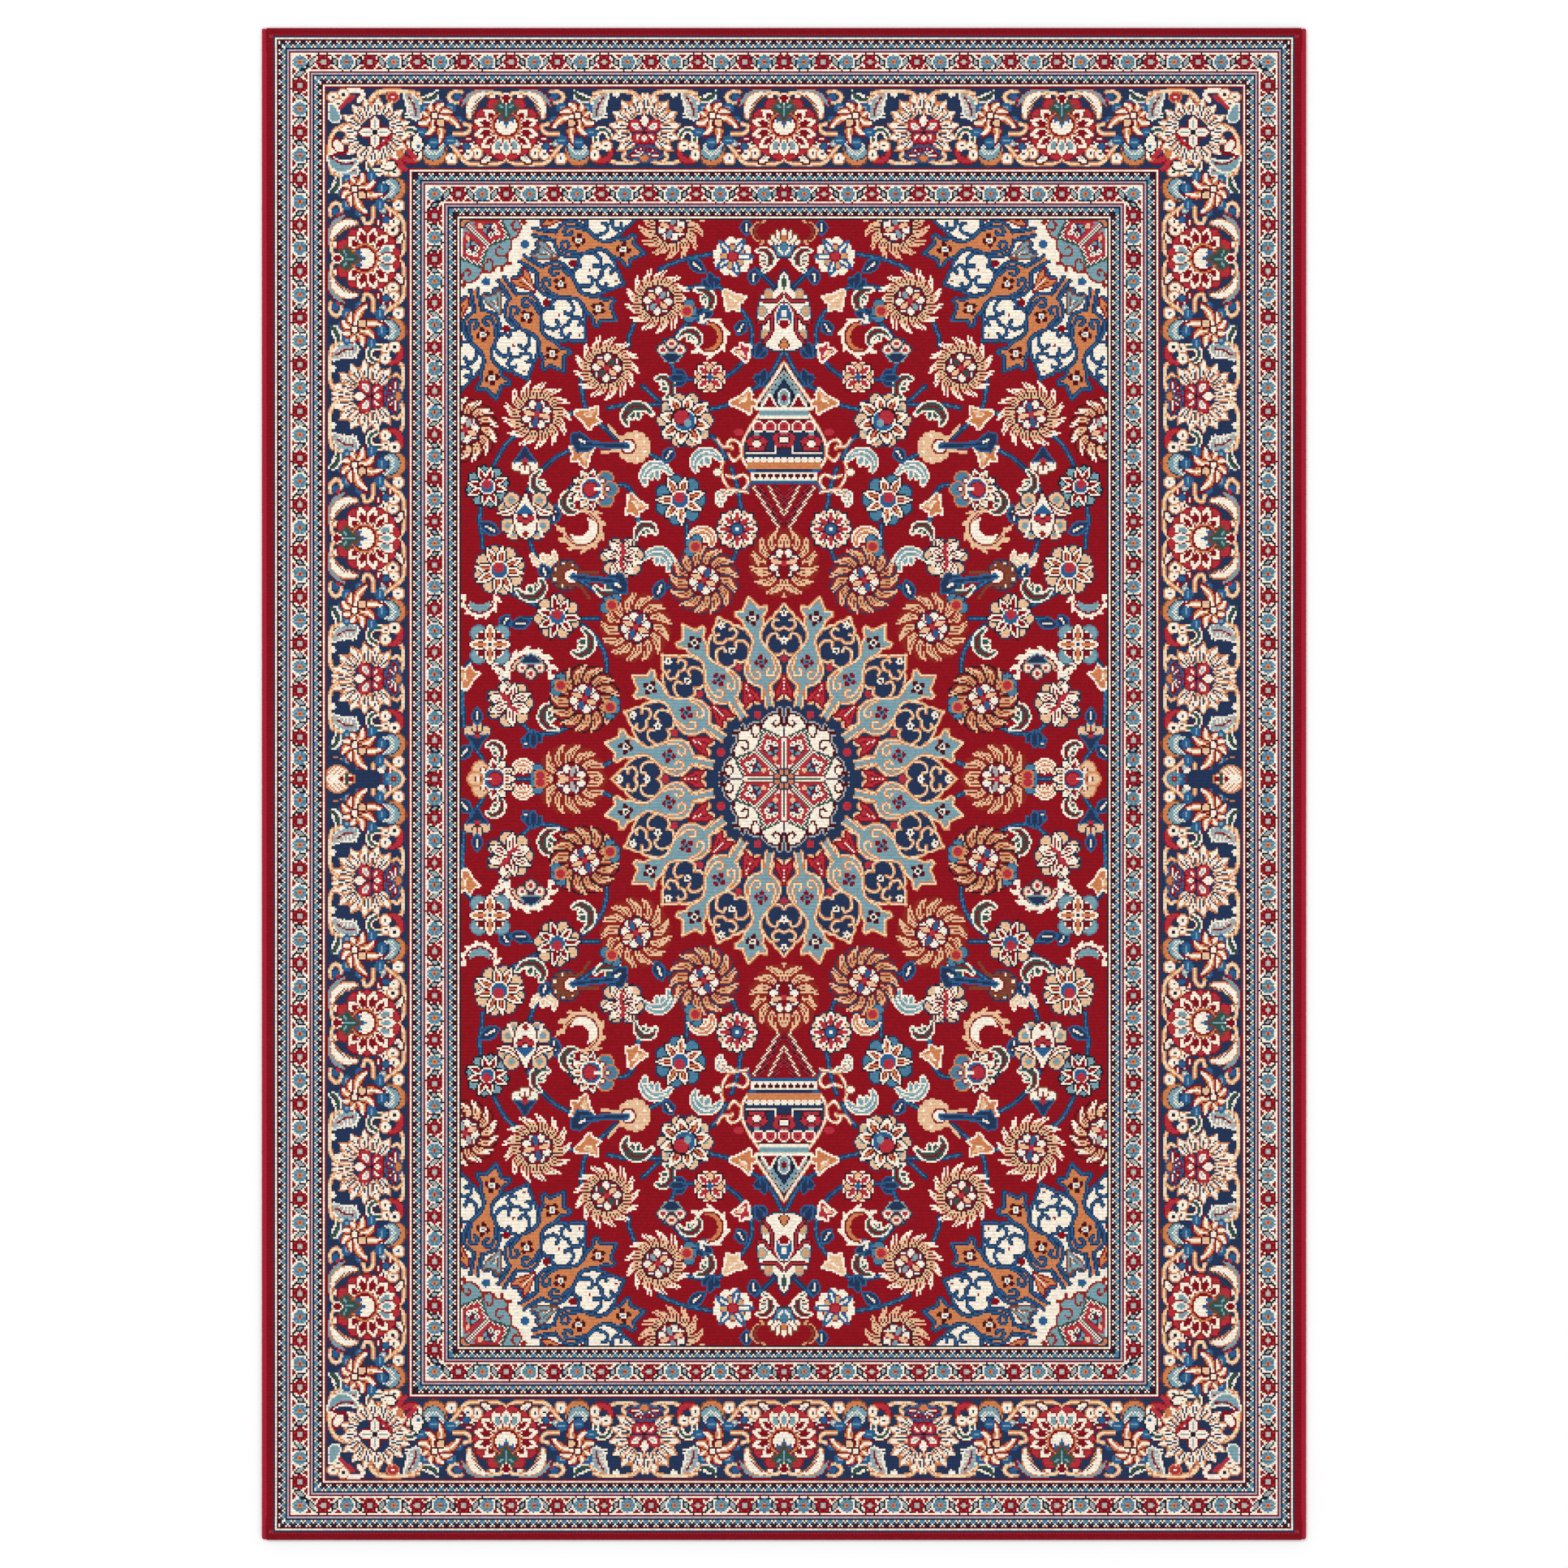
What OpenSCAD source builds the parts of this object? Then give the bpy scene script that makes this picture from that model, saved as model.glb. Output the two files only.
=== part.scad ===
// Area rug: a machine-woven rug with a short pile on a ground weave, overcast long sides and
// turned, stitched ends. Millimetres, +Z up. It lies flat on its underside with its length along
// Y, and its origin is under its centre.

/* [Rug] */
// Width over the two overcast sides
rug_w = 1600; // [1200:10:2000]
// Length over the two turned ends
rug_l = 2316; // [1800:2:2900]

/* [Fabric] */
// Thickness of the latex coat on the back
coat_t = 0.6; // [0.4:0.1:1]
// Thickness of the ground weave
ground_t = 1.8; // [1.4:0.1:2.4]
// Height of the sheared pile over the ground weave
pile_t = 3; // [2:0.1:6]

/* [Long sides] */
// Width of an overcast side
overcast_w = 9; // [7:0.5:12]
// Height of an overcast side
overcast_h = 6.4; // [5:0.2:8]
// Diameter of the filler cord inside the overcasting
cord_d = 3.6; // [2:0.2:4]

/* [Ends] */
// Width of the flap that is turned under
flap_w = 24; // [16:1:40]
// Thickness of the flap
flap_t = 2; // [1.4:0.1:3]
// Length over which the fabric comes down from the flap to the floor
ramp_w = 18; // [16:1:40]
// Distance of a hem seam from its fold
seam_inset = 11; // [8:1:16]
// Diameter of the sewing thread
thread_d = 0.7; // [0.4:0.1:1]

/* [Corner tacks] */
// Bars of thread in each tack
tack_count = 4; // [2:1:7]
// Length of a bar
tack_len = 6; // [4:1:10]
// Spacing of the bars
tack_pitch = 1.2; // [1:0.1:2]

/* [Label] */
// Width of the blank care label
label_w = 40; // [20:1:80]
// Part of the label that shows past the flap
label_l = 12; // [8:1:13]
// Distance of the label's middle from the right side
label_inset = 120; // [80:10:300]

/* [Hidden] */

crimson = [0.50, 0.02, 0.06];
latex = [0.66, 0.60, 0.50];
cotton = [0.86, 0.83, 0.76];
label_white = [0.93, 0.92, 0.88];

half_w = rug_w / 2;
half_l = rug_l / 2;

coat_top = coat_t;
ground_top = coat_t + ground_t;
pile_top = ground_top + pile_t;
hem_top = pile_top + flap_t;

// A half circle as high as the hem closes each end
fold_r = hem_top / 2;
fold_y = half_l - fold_r;
flap_y = half_l - flap_w;
ramp_y = flap_y - ramp_w;

overcast_r = overcast_h / 2;
pile_half_w = half_w - overcast_w;
cord_x = half_w - overcast_r;
selvedge_x = cord_x - cord_d / 2;

clearance = 0.02;
tack_gap = 0.3;
label_t = 0.4;
label_x = half_w - label_inset;

// Side view of one layer of the fabric, flat in the middle and raised over the flap at both ends
module layer_profile(z0, z1) {
    polygon([
        [-fold_y, z0 + flap_t], [-flap_y, z0 + flap_t], [-ramp_y, z0],
        [ramp_y, z0], [flap_y, z0 + flap_t], [fold_y, z0 + flap_t],
        [fold_y, z1 + flap_t], [flap_y, z1 + flap_t], [ramp_y, z1],
        [-ramp_y, z1], [-flap_y, z1 + flap_t], [-fold_y, z1 + flap_t]
    ]);
}

// A side view, drawn out across the rug for half_width on each side of its middle
module across(half_width) {
    translate([-half_width, 0, 0])
        rotate([90, 0, 90])
            linear_extrude(height = 2 * half_width) children();
}

module layer(z0, z1, half_width) {
    across(half_width) layer_profile(z0, z1);
}

// Side view of the flap at one end, and of the rounded fold that joins it to the face
module fold_profile(end) {
    scale([end, 1]) {
        translate([flap_y, 0]) square([fold_y - flap_y, flap_t - clearance]);
        intersection() {
            translate([fold_y, fold_r]) circle(r = fold_r, $fn = 48);
            translate([fold_y, 0]) square([fold_r, hem_top]);
        }
    }
}

module thread_along_x(length) {
    rotate([0, 90, 0]) cylinder(d = thread_d, h = length, center = true, $fn = 24);
}

module back_coating() {
    color(latex) layer(0, coat_top, pile_half_w);
}

module ground_weave() {
    color(cotton) {
        layer(coat_top, ground_top, selvedge_x);
        for (end = [-1, 1]) across(pile_half_w) fold_profile(end);
    }
}

module pile() {
    color(crimson) layer(ground_top, pile_top, pile_half_w);
}

module filler_cord(side) {
    color(cotton)
        translate([side * cord_x, 0, overcast_r])
            rotate([90, 0, 0]) cylinder(d = cord_d, h = 2 * fold_y, center = true, $fn = 48);
}

// Yarn wrapped over a long side: a sleeve, round outside, over the selvedge and its filler cord
module overcasting(side) {
    inner_x = side > 0 ? pile_half_w : -cord_x;
    color(crimson) difference() {
        rotate([90, 0, 0]) linear_extrude(height = rug_l, center = true) {
            translate([side * cord_x, overcast_r]) circle(r = overcast_r, $fn = 48);
            translate([inner_x, 0]) square([cord_x - pile_half_w, overcast_h]);
        }
        layer(coat_top, ground_top, selvedge_x + clearance);
        filler_cord(side);
    }
}

// The thread of a hem seam, lying on the pile
module hem_thread(end) {
    color(crimson)
        translate([0, end * (half_l - seam_inset), hem_top + thread_d / 2])
            thread_along_x(2 * pile_half_w);
}

// Bars of thread over both ends of each hem seam
module corner_tacks() {
    first_y = half_l - seam_inset - thread_d - tack_gap;
    color(crimson)
        for (side = [-1, 1], end = [-1, 1], i = [0 : tack_count - 1])
            translate([
                side * (pile_half_w - tack_len),
                end * (first_y - i * tack_pitch),
                hem_top + thread_d / 2
            ])
                thread_along_x(tack_len);
}

// A blank label whose edge is sewn to the flap at the foot end
module care_label() {
    color(label_white)
        translate([label_x - label_w / 2, -flap_y + clearance, 0]) cube([label_w, label_l, label_t]);
}

module label_thread() {
    color(crimson)
        translate([label_x, -flap_y + thread_d, label_t + thread_d / 2]) thread_along_x(label_w);
}

back_coating();
ground_weave();
pile();
overcasting(-1);  // overcasting_left
overcasting(1);  // overcasting_right
filler_cord(-1);  // filler_cord_left
filler_cord(1);  // filler_cord_right
hem_thread(1);  // hem_thread_head
hem_thread(-1);  // hem_thread_foot
corner_tacks();
care_label();
label_thread();
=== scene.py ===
"""The looks of a machine-woven area rug with a medallion pattern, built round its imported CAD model.

The pile is one mesh with a face for each knot, coloured by a chart that the functions below draw as a
weaver would: borders, medallion, corner pieces and flowers, each from its own short function. The
back, the hems, the overcast sides, the seams, the tacks and the label are meshes of their own.
Lengths are in metres, and places come from the CAD nodes' boxes.
"""

import math

import bpy
import numpy as np
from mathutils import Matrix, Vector


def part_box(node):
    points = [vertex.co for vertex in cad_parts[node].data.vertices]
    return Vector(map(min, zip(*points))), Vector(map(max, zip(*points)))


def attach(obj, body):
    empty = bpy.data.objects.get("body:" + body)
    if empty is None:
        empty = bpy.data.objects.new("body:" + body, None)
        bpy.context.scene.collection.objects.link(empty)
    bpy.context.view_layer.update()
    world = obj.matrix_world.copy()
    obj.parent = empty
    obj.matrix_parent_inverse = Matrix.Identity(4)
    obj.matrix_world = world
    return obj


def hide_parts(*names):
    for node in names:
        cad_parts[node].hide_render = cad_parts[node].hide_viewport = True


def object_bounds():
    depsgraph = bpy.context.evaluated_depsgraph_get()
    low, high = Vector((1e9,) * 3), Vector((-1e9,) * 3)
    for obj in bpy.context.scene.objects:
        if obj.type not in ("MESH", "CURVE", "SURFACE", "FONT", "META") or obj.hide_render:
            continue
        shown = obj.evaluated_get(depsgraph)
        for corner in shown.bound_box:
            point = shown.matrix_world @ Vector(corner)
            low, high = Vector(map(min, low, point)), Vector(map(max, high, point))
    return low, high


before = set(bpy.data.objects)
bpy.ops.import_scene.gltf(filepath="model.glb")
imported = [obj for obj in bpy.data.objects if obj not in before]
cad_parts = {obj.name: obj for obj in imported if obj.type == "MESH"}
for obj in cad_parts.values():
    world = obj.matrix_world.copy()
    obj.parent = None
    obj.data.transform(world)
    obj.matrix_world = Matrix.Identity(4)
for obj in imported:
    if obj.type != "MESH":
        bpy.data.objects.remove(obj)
CAD_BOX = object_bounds()
LOW, HIGH = CAD_BOX
WIDTH, LENGTH = HIGH.x - LOW.x, HIGH.y - LOW.y
RNG = np.random.default_rng(7)


# ---------------------------------------------------------------- camera, light and floor
def add_camera():
    """Looks straight down on the rug, whose width is two thirds of the picture's."""
    rug_share = 2 / 3
    data = bpy.data.cameras.new("camera")
    data.lens = 90
    data.sensor_width = 36
    camera = bpy.data.objects.new("camera", data)
    height = WIDTH / rug_share * data.lens / data.sensor_width
    camera.location = (0, 0, height + HIGH.z)
    data.clip_end = 100
    bpy.context.scene.collection.objects.link(camera)
    bpy.context.scene.camera = camera


def add_light(name, place, size, power):
    """A soft light that faces the rug."""
    data = bpy.data.lights.new(name, "AREA")
    data.size = size
    data.energy = power
    light = bpy.data.objects.new(name, data)
    light.location = place
    light.rotation_euler = (-Vector(place)).to_track_quat("-Z", "Y").to_euler()
    bpy.context.scene.collection.objects.link(light)


def add_studio():
    """White surroundings, two lights and a white floor under the rug."""
    world = bpy.data.worlds.new("studio")
    world.use_nodes = True
    background = world.node_tree.nodes["Background"]
    background.inputs["Color"].default_value = (1, 1, 1, 1)
    background.inputs["Strength"].default_value = 0.75
    bpy.context.scene.world = world
    add_light("key", (-3.2, 3.4, 7.0), 2.6, 185)
    add_light("fill", (3.4, -2.4, 6.5), 3.2, 70)
    bpy.context.scene.view_settings.view_transform = "Standard"
    bpy.context.scene.view_settings.look = "None"
    floor_material = plain_material("floor", (0.99, 0.99, 0.99), 0.9)
    reach = 15
    gap = 0.0005   # keeps the floor clear of the rug's underside
    floor = mesh_object("floor", *grid_mesh((-reach, reach), (-reach, reach), -gap))
    floor.data.materials.append(floor_material)


# ---------------------------------------------------------------- mesh helpers
def mesh_object(name, points, quads):
    """A smooth mesh from its points and an array of quads."""
    points = np.asarray(points, np.float32)
    mesh = bpy.data.meshes.new(name)
    mesh.vertices.add(len(points))
    mesh.vertices.foreach_set("co", points.ravel())
    mesh.loops.add(quads.size)
    mesh.loops.foreach_set("vertex_index", quads.astype(np.int32).ravel())
    mesh.polygons.add(len(quads))
    mesh.polygons.foreach_set("loop_start", np.arange(0, quads.size, 4, dtype=np.int32))
    mesh.update(calc_edges=True)
    mesh.polygons.foreach_set("use_smooth", np.ones(len(quads), bool))
    obj = bpy.data.objects.new(name, mesh)
    bpy.context.scene.collection.objects.link(obj)
    return obj


def grid_faces(rows, columns):
    """Quads that join rows of points, counter-clockwise where rows go up Y and columns up X."""
    n = np.arange((rows - 1) * columns).reshape(rows - 1, columns)[:, :-1].ravel()
    return np.stack([n, n + 1, n + columns + 1, n + columns], -1)


def grid_mesh(xs, ys, z):
    """A grid of points over xs and ys, at height z, and its quads."""
    x, y = np.meshgrid(xs, ys)
    points = np.stack([x, y, np.broadcast_to(z, x.shape)], -1).reshape(-1, 3)
    return points, grid_faces(len(ys), len(xs))


def ring_faces(rings, sides):
    """Quads round a row of rings, each of an even number of points, and the caps at its two ends."""
    n = np.arange((rings - 1) * sides)
    turned = n // sides * sides + (n + 1) % sides
    wall = np.stack([n + sides, turned + sides, turned, n], -1)
    k = 2 * np.arange(sides // 2 - 1)
    cap = np.stack([np.zeros_like(k), k + 1, k + 2, k + 3], -1)
    return np.vstack([wall, cap, cap[:, ::-1] + (rings - 1) * sides])


def tube_mesh(spine, radius):
    """A round tube along a spine of points that doesn't run straight up."""
    sides = 6
    along = np.gradient(spine, axis=0)
    along /= np.linalg.norm(along, axis=1)[:, None]
    right = np.cross(along, [0, 0, 1])
    right /= np.linalg.norm(right, axis=1)[:, None]
    up = np.cross(right, along)
    a = (np.arange(sides) * 2 * math.pi / sides)[None, :, None]
    ring = np.cos(a) * right[:, None] + np.sin(a) * up[:, None]
    return (spine[:, None] + radius * ring).reshape(-1, 3), ring_faces(len(spine), sides)


def join_meshes(parts):
    """Several (points, quads) meshes as one."""
    points, faces, count = [], [], 0
    for p, f in parts:
        points.append(p)
        faces.append(f + count)
        count += len(p)
    return np.vstack(points), np.vstack(faces)


# ---------------------------------------------------------------- the weave chart
# The pattern is a chart with one yarn for each knot, as a weaver would draw it. It is the same
# in all four quarters, so one quarter is drawn, in knots from the rug's centre.
KNOTS_ACROSS = 613
KNOTS_ALONG = 899
SIDE_BAND = 7    # plain knots along each long side
END_BAND = 5     # plain knots along each end
BAND = 11        # the flower band of a minor border
MAIN = 48        # the main border

YARNS = {
    "crimson": (0.535, 0.032, 0.090), "wine": (0.490, 0.020, 0.080), "maroon": (0.290, 0.030, 0.080),
    "rose": (0.680, 0.170, 0.220), "brick": (0.540, 0.130, 0.095), "navy": (0.125, 0.190, 0.315),
    "ink": (0.105, 0.085, 0.145), "blue": (0.155, 0.350, 0.530), "sky": (0.460, 0.600, 0.640),
    "steel": (0.280, 0.470, 0.580), "cream": (0.945, 0.900, 0.830), "sand": (0.880, 0.720, 0.570),
    "orange": (0.780, 0.480, 0.300), "brown": (0.470, 0.240, 0.160), "green": (0.185, 0.300, 0.280),
    "lilac": (0.640, 0.640, 0.720), "grey": (0.620, 0.650, 0.650), "gold": (0.800, 0.610, 0.440),
    "straw": (0.920, 0.810, 0.660),
}
YARN = {name: index for index, name in enumerate(YARNS)}

HALF_U = KNOTS_ACROSS // 2
HALF_V = KNOTS_ALONG // 2


def smooth(points, closed=False):
    """A soft curve through a few points, with six steps from each to the next."""
    p = np.asarray(points, float)
    if closed:
        p = np.vstack([p[-1], p, p[0], p[1]])
    else:
        p = np.vstack([2 * p[0] - p[1], p, 2 * p[-1] - p[-2]])
    t = np.linspace(0, 1, 6, endpoint=False)[:, None]
    rows = []
    for a, b, c, d in zip(p, p[1:], p[2:], p[3:]):
        rows.append(b + 0.5 * t * (c - a + t * (2 * a - 5 * b + 4 * c - d + t * (3 * (b - c) + d - a))))
    if not closed:
        rows.append(p[-2][None])
    return np.vstack(rows)


def polar(radius, degrees):
    """The point at a distance from (0, 0) and an angle, or the points at several."""
    a = np.radians(degrees)
    return np.stack([radius * np.cos(a), radius * np.sin(a)], -1)


def ellipse(u, v, rx, ry=None, steps=24):
    """An ellipse, or a circle of radius rx, round (u, v)."""
    a = np.arange(steps) * 360 / steps
    return polar(1, a) * (rx, rx if ry is None else ry) + (u, v)


def spin(points, degrees):
    """Points turned about (0, 0)."""
    c, s = math.cos(math.radians(degrees)), math.sin(math.radians(degrees))
    return np.asarray(points, float) @ np.array([[c, s], [-s, c]])


def petal(base, tip, width, belly=0.55, steps=9):
    """A petal from base to tip, widest at the share belly of its length."""
    base, tip = np.asarray(base, float), np.asarray(tip, float)
    along = tip - base
    across = np.array([-along[1], along[0]]) / np.hypot(*along)
    t = np.linspace(0, 1, steps)
    half = 0.5 * width * np.sin(np.pi * t ** (math.log(0.5) / math.log(belly)))
    side = base + t[:, None] * along
    return np.vstack([side + half[:, None] * across, (side - half[:, None] * across)[::-1]])


def ribbon(spine, w0, w1, w2=0.0):
    """A curved leaf along spine: w0 wide at its start, w1 in the middle and w2 at its end."""
    p = smooth(spine)
    t = np.linspace(0, 1, len(p))
    half = 0.5 * np.where(t < 0.5, w0 + (w1 - w0) * np.sin(np.pi * t), w2 + (w1 - w2) * np.sin(np.pi * t))
    d = np.gradient(p, axis=0)
    n = np.stack([-d[:, 1], d[:, 0]], -1) / np.maximum(np.hypot(d[:, 0], d[:, 1]), 1e-9)[:, None]
    return np.vstack([p + half[:, None] * n, (p - half[:, None] * n)[::-1]])


class Loom:
    """A quarter of the chart."""

    def __init__(self):
        self.chart = np.full((HALF_V + 1, HALF_U + 1), YARN["crimson"], np.uint8)

    def window(self, points, margin=0.0):
        """The part of the chart around points, and the knots' places in it."""
        low = np.floor(np.min(points, 0) - margin).astype(int)
        high = np.ceil(np.max(points, 0) + margin).astype(int) + 1
        low = np.maximum(low, 0)
        high = np.minimum(high, (HALF_U + 1, HALF_V + 1))
        if (high <= low).any():
            return None, None, None
        u, v = np.meshgrid(np.arange(low[0], high[0]), np.arange(low[1], high[1]))
        return self.chart[low[1]:high[1], low[0]:high[0]], u, v

    def inside(self, points, u, v):
        """Which knots are inside an outline."""
        mask = np.zeros(u.shape, bool)
        for (x0, y0), (x1, y1) in zip(points, np.roll(points, -1, 0)):
            if y0 != y1:
                crosses = (v >= min(y0, y1)) & (v < max(y0, y1))
                mask ^= crosses & (u < x0 + (v - y0) * (x1 - x0) / (y1 - y0))
        return mask

    def near(self, path, reach, u, v):
        """Which knots are within reach of a path."""
        mask = np.zeros(u.shape, bool)
        for (x0, y0), (x1, y1) in zip(path, path[1:]):
            dx, dy = x1 - x0, y1 - y0
            t = np.clip(((u - x0) * dx + (v - y0) * dy) / max(dx * dx + dy * dy, 1e-9), 0, 1)
            mask |= (u - x0 - t * dx) ** 2 + (v - y0 - t * dy) ** 2 <= reach * reach
        return mask

    def fill(self, points, yarn, edge=None, thick=1.0, hatch=None):
        """A filled outline. edge is a line round it, thick knots wide, and hatch a second yarn that
        stripes it along one diagonal."""
        points = np.asarray(points, float)
        # whole-number corners would fall exactly on knots, so the shape is nudged off them
        points = points + 0.013
        if edge:
            self.line(np.vstack([points, points[:1]]), 2 * thick + 0.3, edge)
        part, u, v = self.window(points, 1)
        if part is None:
            return
        mask = self.inside(points, u, v)
        part[mask] = YARN[yarn]
        if hatch:
            part[mask & ((u + v) % 3 == 0)] = YARN[hatch]

    def line(self, path, width, yarn):
        """A line width knots wide along path."""
        path = np.asarray(path, float)
        part, u, v = self.window(path, width)
        if part is not None:
            part[self.near(path, width / 2, u, v)] = YARN[yarn]

    def dots(self, path, width, yarn, gap=2):
        """A line with every gap-th knot of it in yarn."""
        path = np.asarray(path, float)
        part, u, v = self.window(path, width)
        if part is not None:
            part[self.near(path, width / 2, u, v) & ((u + v) % gap == 0)] = YARN[yarn]


class Brush:
    """Draws the motifs on a loom, with the loom's own fill, line and dots and with simple shapes.
    place puts the points of a motif where they belong on the chart."""

    def __init__(self, loom, place=np.asarray):
        self.loom, self.place = loom, place

    def at(self, u, v, turn=0, size=1.0, flip=False):
        """A brush whose middle is this one's (u, v). size is a number, or one for each way."""
        stretch = (-size, size) if flip else size

        def place(points):
            return self.place(spin(np.asarray(points, float) * stretch, turn) + (u, v))

        return Brush(self.loom, place)

    def fill(self, points, *yarns, **more):
        self.loom.fill(self.place(points), *yarns, **more)

    def line(self, path, width, yarn):
        self.loom.line(self.place(path), width, yarn)

    def dots(self, path, width, yarn, gap=2):
        self.loom.dots(self.place(path), width, yarn, gap)

    def disc(self, u, v, radius, *yarns):
        """A filled circle, or an ellipse when radius is a pair."""
        rx, ry = radius if isinstance(radius, tuple) else (radius, radius)
        self.fill(ellipse(u, v, rx, ry), *yarns)

    def ring(self, count, reach, start, radius, *yarns):
        """A ring of count discs, reach from the middle and the first at the angle start."""
        for i in range(count):
            self.disc(*polar(reach, start + 360 * i / count), radius, *yarns)

    def petal(self, base, tip, width, belly, *yarns):
        self.fill(petal(base, tip, width, belly), *yarns)

    def ribbon(self, spine, widths, *yarns):
        self.fill(ribbon(spine, *widths), *yarns)

    def curve(self, points, width, yarn):
        """A line along a soft curve through points."""
        self.line(smooth(points), width, yarn)

    def cord(self, path, width, rim, core, edge):
        """A line width knots wide, with a rim of edge that makes it rim knots wider."""
        self.line(path, width + rim, edge)
        self.line(path, width, core)

    def vine(self, points):
        """A dark stem along a soft curve through points, with a blue core."""
        path = smooth(points)
        self.cord(path, 1.3, 1.8, "blue", "navy")
        self.dots(path, 1.3, "steel", 4)


# ---------------------------------------------------------------- borders
# One repeat of a guard stripe: for each step along it, the yarns from its outer to its inner side
GUARD = ["maroon ink cream brown", "ink navy ink cream", "cream ink sky steel", "wine cream steel steel",
         "cream ink sky steel", "ink navy ink cream"]
GUARD_W = 4      # the stripe's width in knots
OUTER_LINES = ["navy", "cream", "maroon"]
INNER_LINES = ["ink", "lilac", "wine"]


def triple(first, last):
    """The layers of a minor border with its two guard stripes, from its outer to its inner side."""
    return (first + ["guard"] * GUARD_W + INNER_LINES + ["band"] * BAND + INNER_LINES[::-1]
            + ["back guard"] * GUARD_W + last)


OUTER_BORDER = triple(OUTER_LINES, ["maroon", "cream", "wine"])
INNER_BORDER = triple(["wine", "cream", "maroon"], ["maroon", "cream"])
LAYERS = OUTER_BORDER + ["main"] * MAIN + INNER_BORDER
FIELD_U = HALF_U + 0.5 - SIDE_BAND - len(LAYERS)
FIELD_V = HALF_V + 0.5 - END_BAND - len(LAYERS)


def lay_borders(loom):
    """Every plain line and guard stripe, by how deep a knot is from the pattern's outer edge."""
    u, v = np.meshgrid(np.arange(HALF_U + 1), np.arange(HALF_V + 1))
    deep_u, deep_v = HALF_U - SIDE_BAND - u, HALF_V - END_BAND - v
    deep = np.minimum(deep_u, deep_v)
    along = np.where(deep_u < deep_v, v, u)
    loom.chart[deep < 0] = YARN["wine"]
    plain = {"band": "cream", "main": "navy"}
    guard = np.array([[YARN[y] for y in step.split()] for step in GUARD])
    start = 0
    for depth, layer in enumerate(LAYERS):
        here = deep == depth
        if layer.endswith("guard"):
            start = depth if LAYERS[depth - 1] != layer else start
            column = depth - start
            if layer == "back guard":
                column = GUARD_W - 1 - column
            loom.chart[here] = guard[along[here] % len(GUARD), column]
        else:
            loom.chart[here] = YARN[plain.get(layer, layer)]
    loom.chart[deep == len(LAYERS)] = YARN["ink"]


def lay_main_edges(loom):
    """The plain lines on both sides of the main border again, over what crossed them."""
    u, v = np.meshgrid(np.arange(HALF_U + 1), np.arange(HALF_V + 1))
    deep = np.minimum(HALF_U - SIDE_BAND - u, HALF_V - END_BAND - v)
    first = LAYERS.index("main")
    for depth in (first - 1, first + MAIN):
        loom.chart[deep == depth] = YARN["wine"]


def small_flower(pen, radius, count, body, light, heart, eye, turn=0):
    """A little round flower with count petals."""
    for i in range(count):
        pen.petal((0, 0), polar(radius, turn + 360 * i / count), radius * 0.85, 0.65, body)
    for i in range(count):
        a = turn + 360 * i / count
        pen.line([polar(radius * 0.58, a), polar(radius * 0.72, a)], 0.9, light)
    pen.disc(0, 0, radius * 0.36, heart)
    pen.disc(0, 0, radius * 0.16, eye)


REPEAT = 27.7       # knots from one blue flower of a minor border to the next
DRAWN_HALF = 13.8   # half a repeat as it is drawn, before it is stretched to its place


def band_half(pen, reach):
    """Half a repeat of a flower band, from a blue flower to the next red one, reach knots along Y.
    X is across the band, and outwards is positive."""
    stretch = np.array([1, reach / DRAWN_HALF])
    vine = [(-3, 0), (-4.2, 1.2), (-4.6, 2.6), (-4.2, 4), (-2.8, 5.5), (0, 6.9), (2.6, 8.4), (4, 9.8),
            (4.6, 11.4), (4.2, 12.6), (3, DRAWN_HALF)]
    pen.line(np.array(vine) * stretch, 1.0, "ink")
    leaf = [(-2.4, 5.6), (0.4, 5.7), (2.4, 8.2), (-0.4, 8.1)]
    pen.fill(np.array(leaf) * stretch, "grey", "ink", 0.7)
    for side in (-1, 1):
        middle = 5.1 if side > 0 else 8.7
        tri = [(side * 4.7, middle - 2.5), (side * 4.7, middle + 2.5), (side * 1.9, middle)]
        pen.fill(np.array(tri) * stretch, "wine")


def lay_band(pen, u, v):
    """The flowers of one minor border, whose band turns the corner at (u, v)."""
    for length, turned in ((v, False), (u, True)):
        # the two steps next to the middle are shorter than the others
        steps = 2 * round(length / REPEAT) + 1
        short = 2.2 if turned else 1.4
        step = (length + 2 * short) / steps
        places = [length - i * step for i in range(steps - 1)] + [step - short, 0]
        for i, (at, after) in enumerate(zip(places, places[1:])):
            # a half repeat runs from its blue flower to the red one, whichever comes first
            near, toward = (at, -1) if i % 2 == 0 else (after, 1)
            if turned:
                band_half(pen.at(near, v, -90 * toward, 1, toward > 0), at - after)
            else:
                band_half(pen.at(u, near, 90 - 90 * toward, 1, toward < 0), at - after)
        for i, at in enumerate(places):
            flower = pen.at(at, v) if turned else pen.at(u, at)
            if i % 2 == 0:
                small_flower(flower, 4.3, 10, "steel", "sky", "orange", "brick", 18)
            else:
                small_flower(flower, 4.9, 6, "wine", "rose", "grey", "sand", 0 if turned else 30)


# ---------------------------------------------------------------- the main border
# A motif of the border is drawn in (s, c): s runs along it from a palmette, c across it, outwards
PALMETTE_TO_ROSETTE = 82
END_PALMETTES = (0, 163)         # how far they are from the middle of an end
SIDE_PALMETTES = (144, 311.4)    # how far they are from the middle of a side
ACROSS_MIDDLE = -22              # a repeat that comes from the other half of a side
CORNER_ROSETTE = (240, 387)


def band_line(pen, points, width=1.4, core="straw", edge="orange"):
    """A soft light line with a darker edge."""
    pen.cord(smooth(points), width, 1.1, core, edge)


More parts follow.
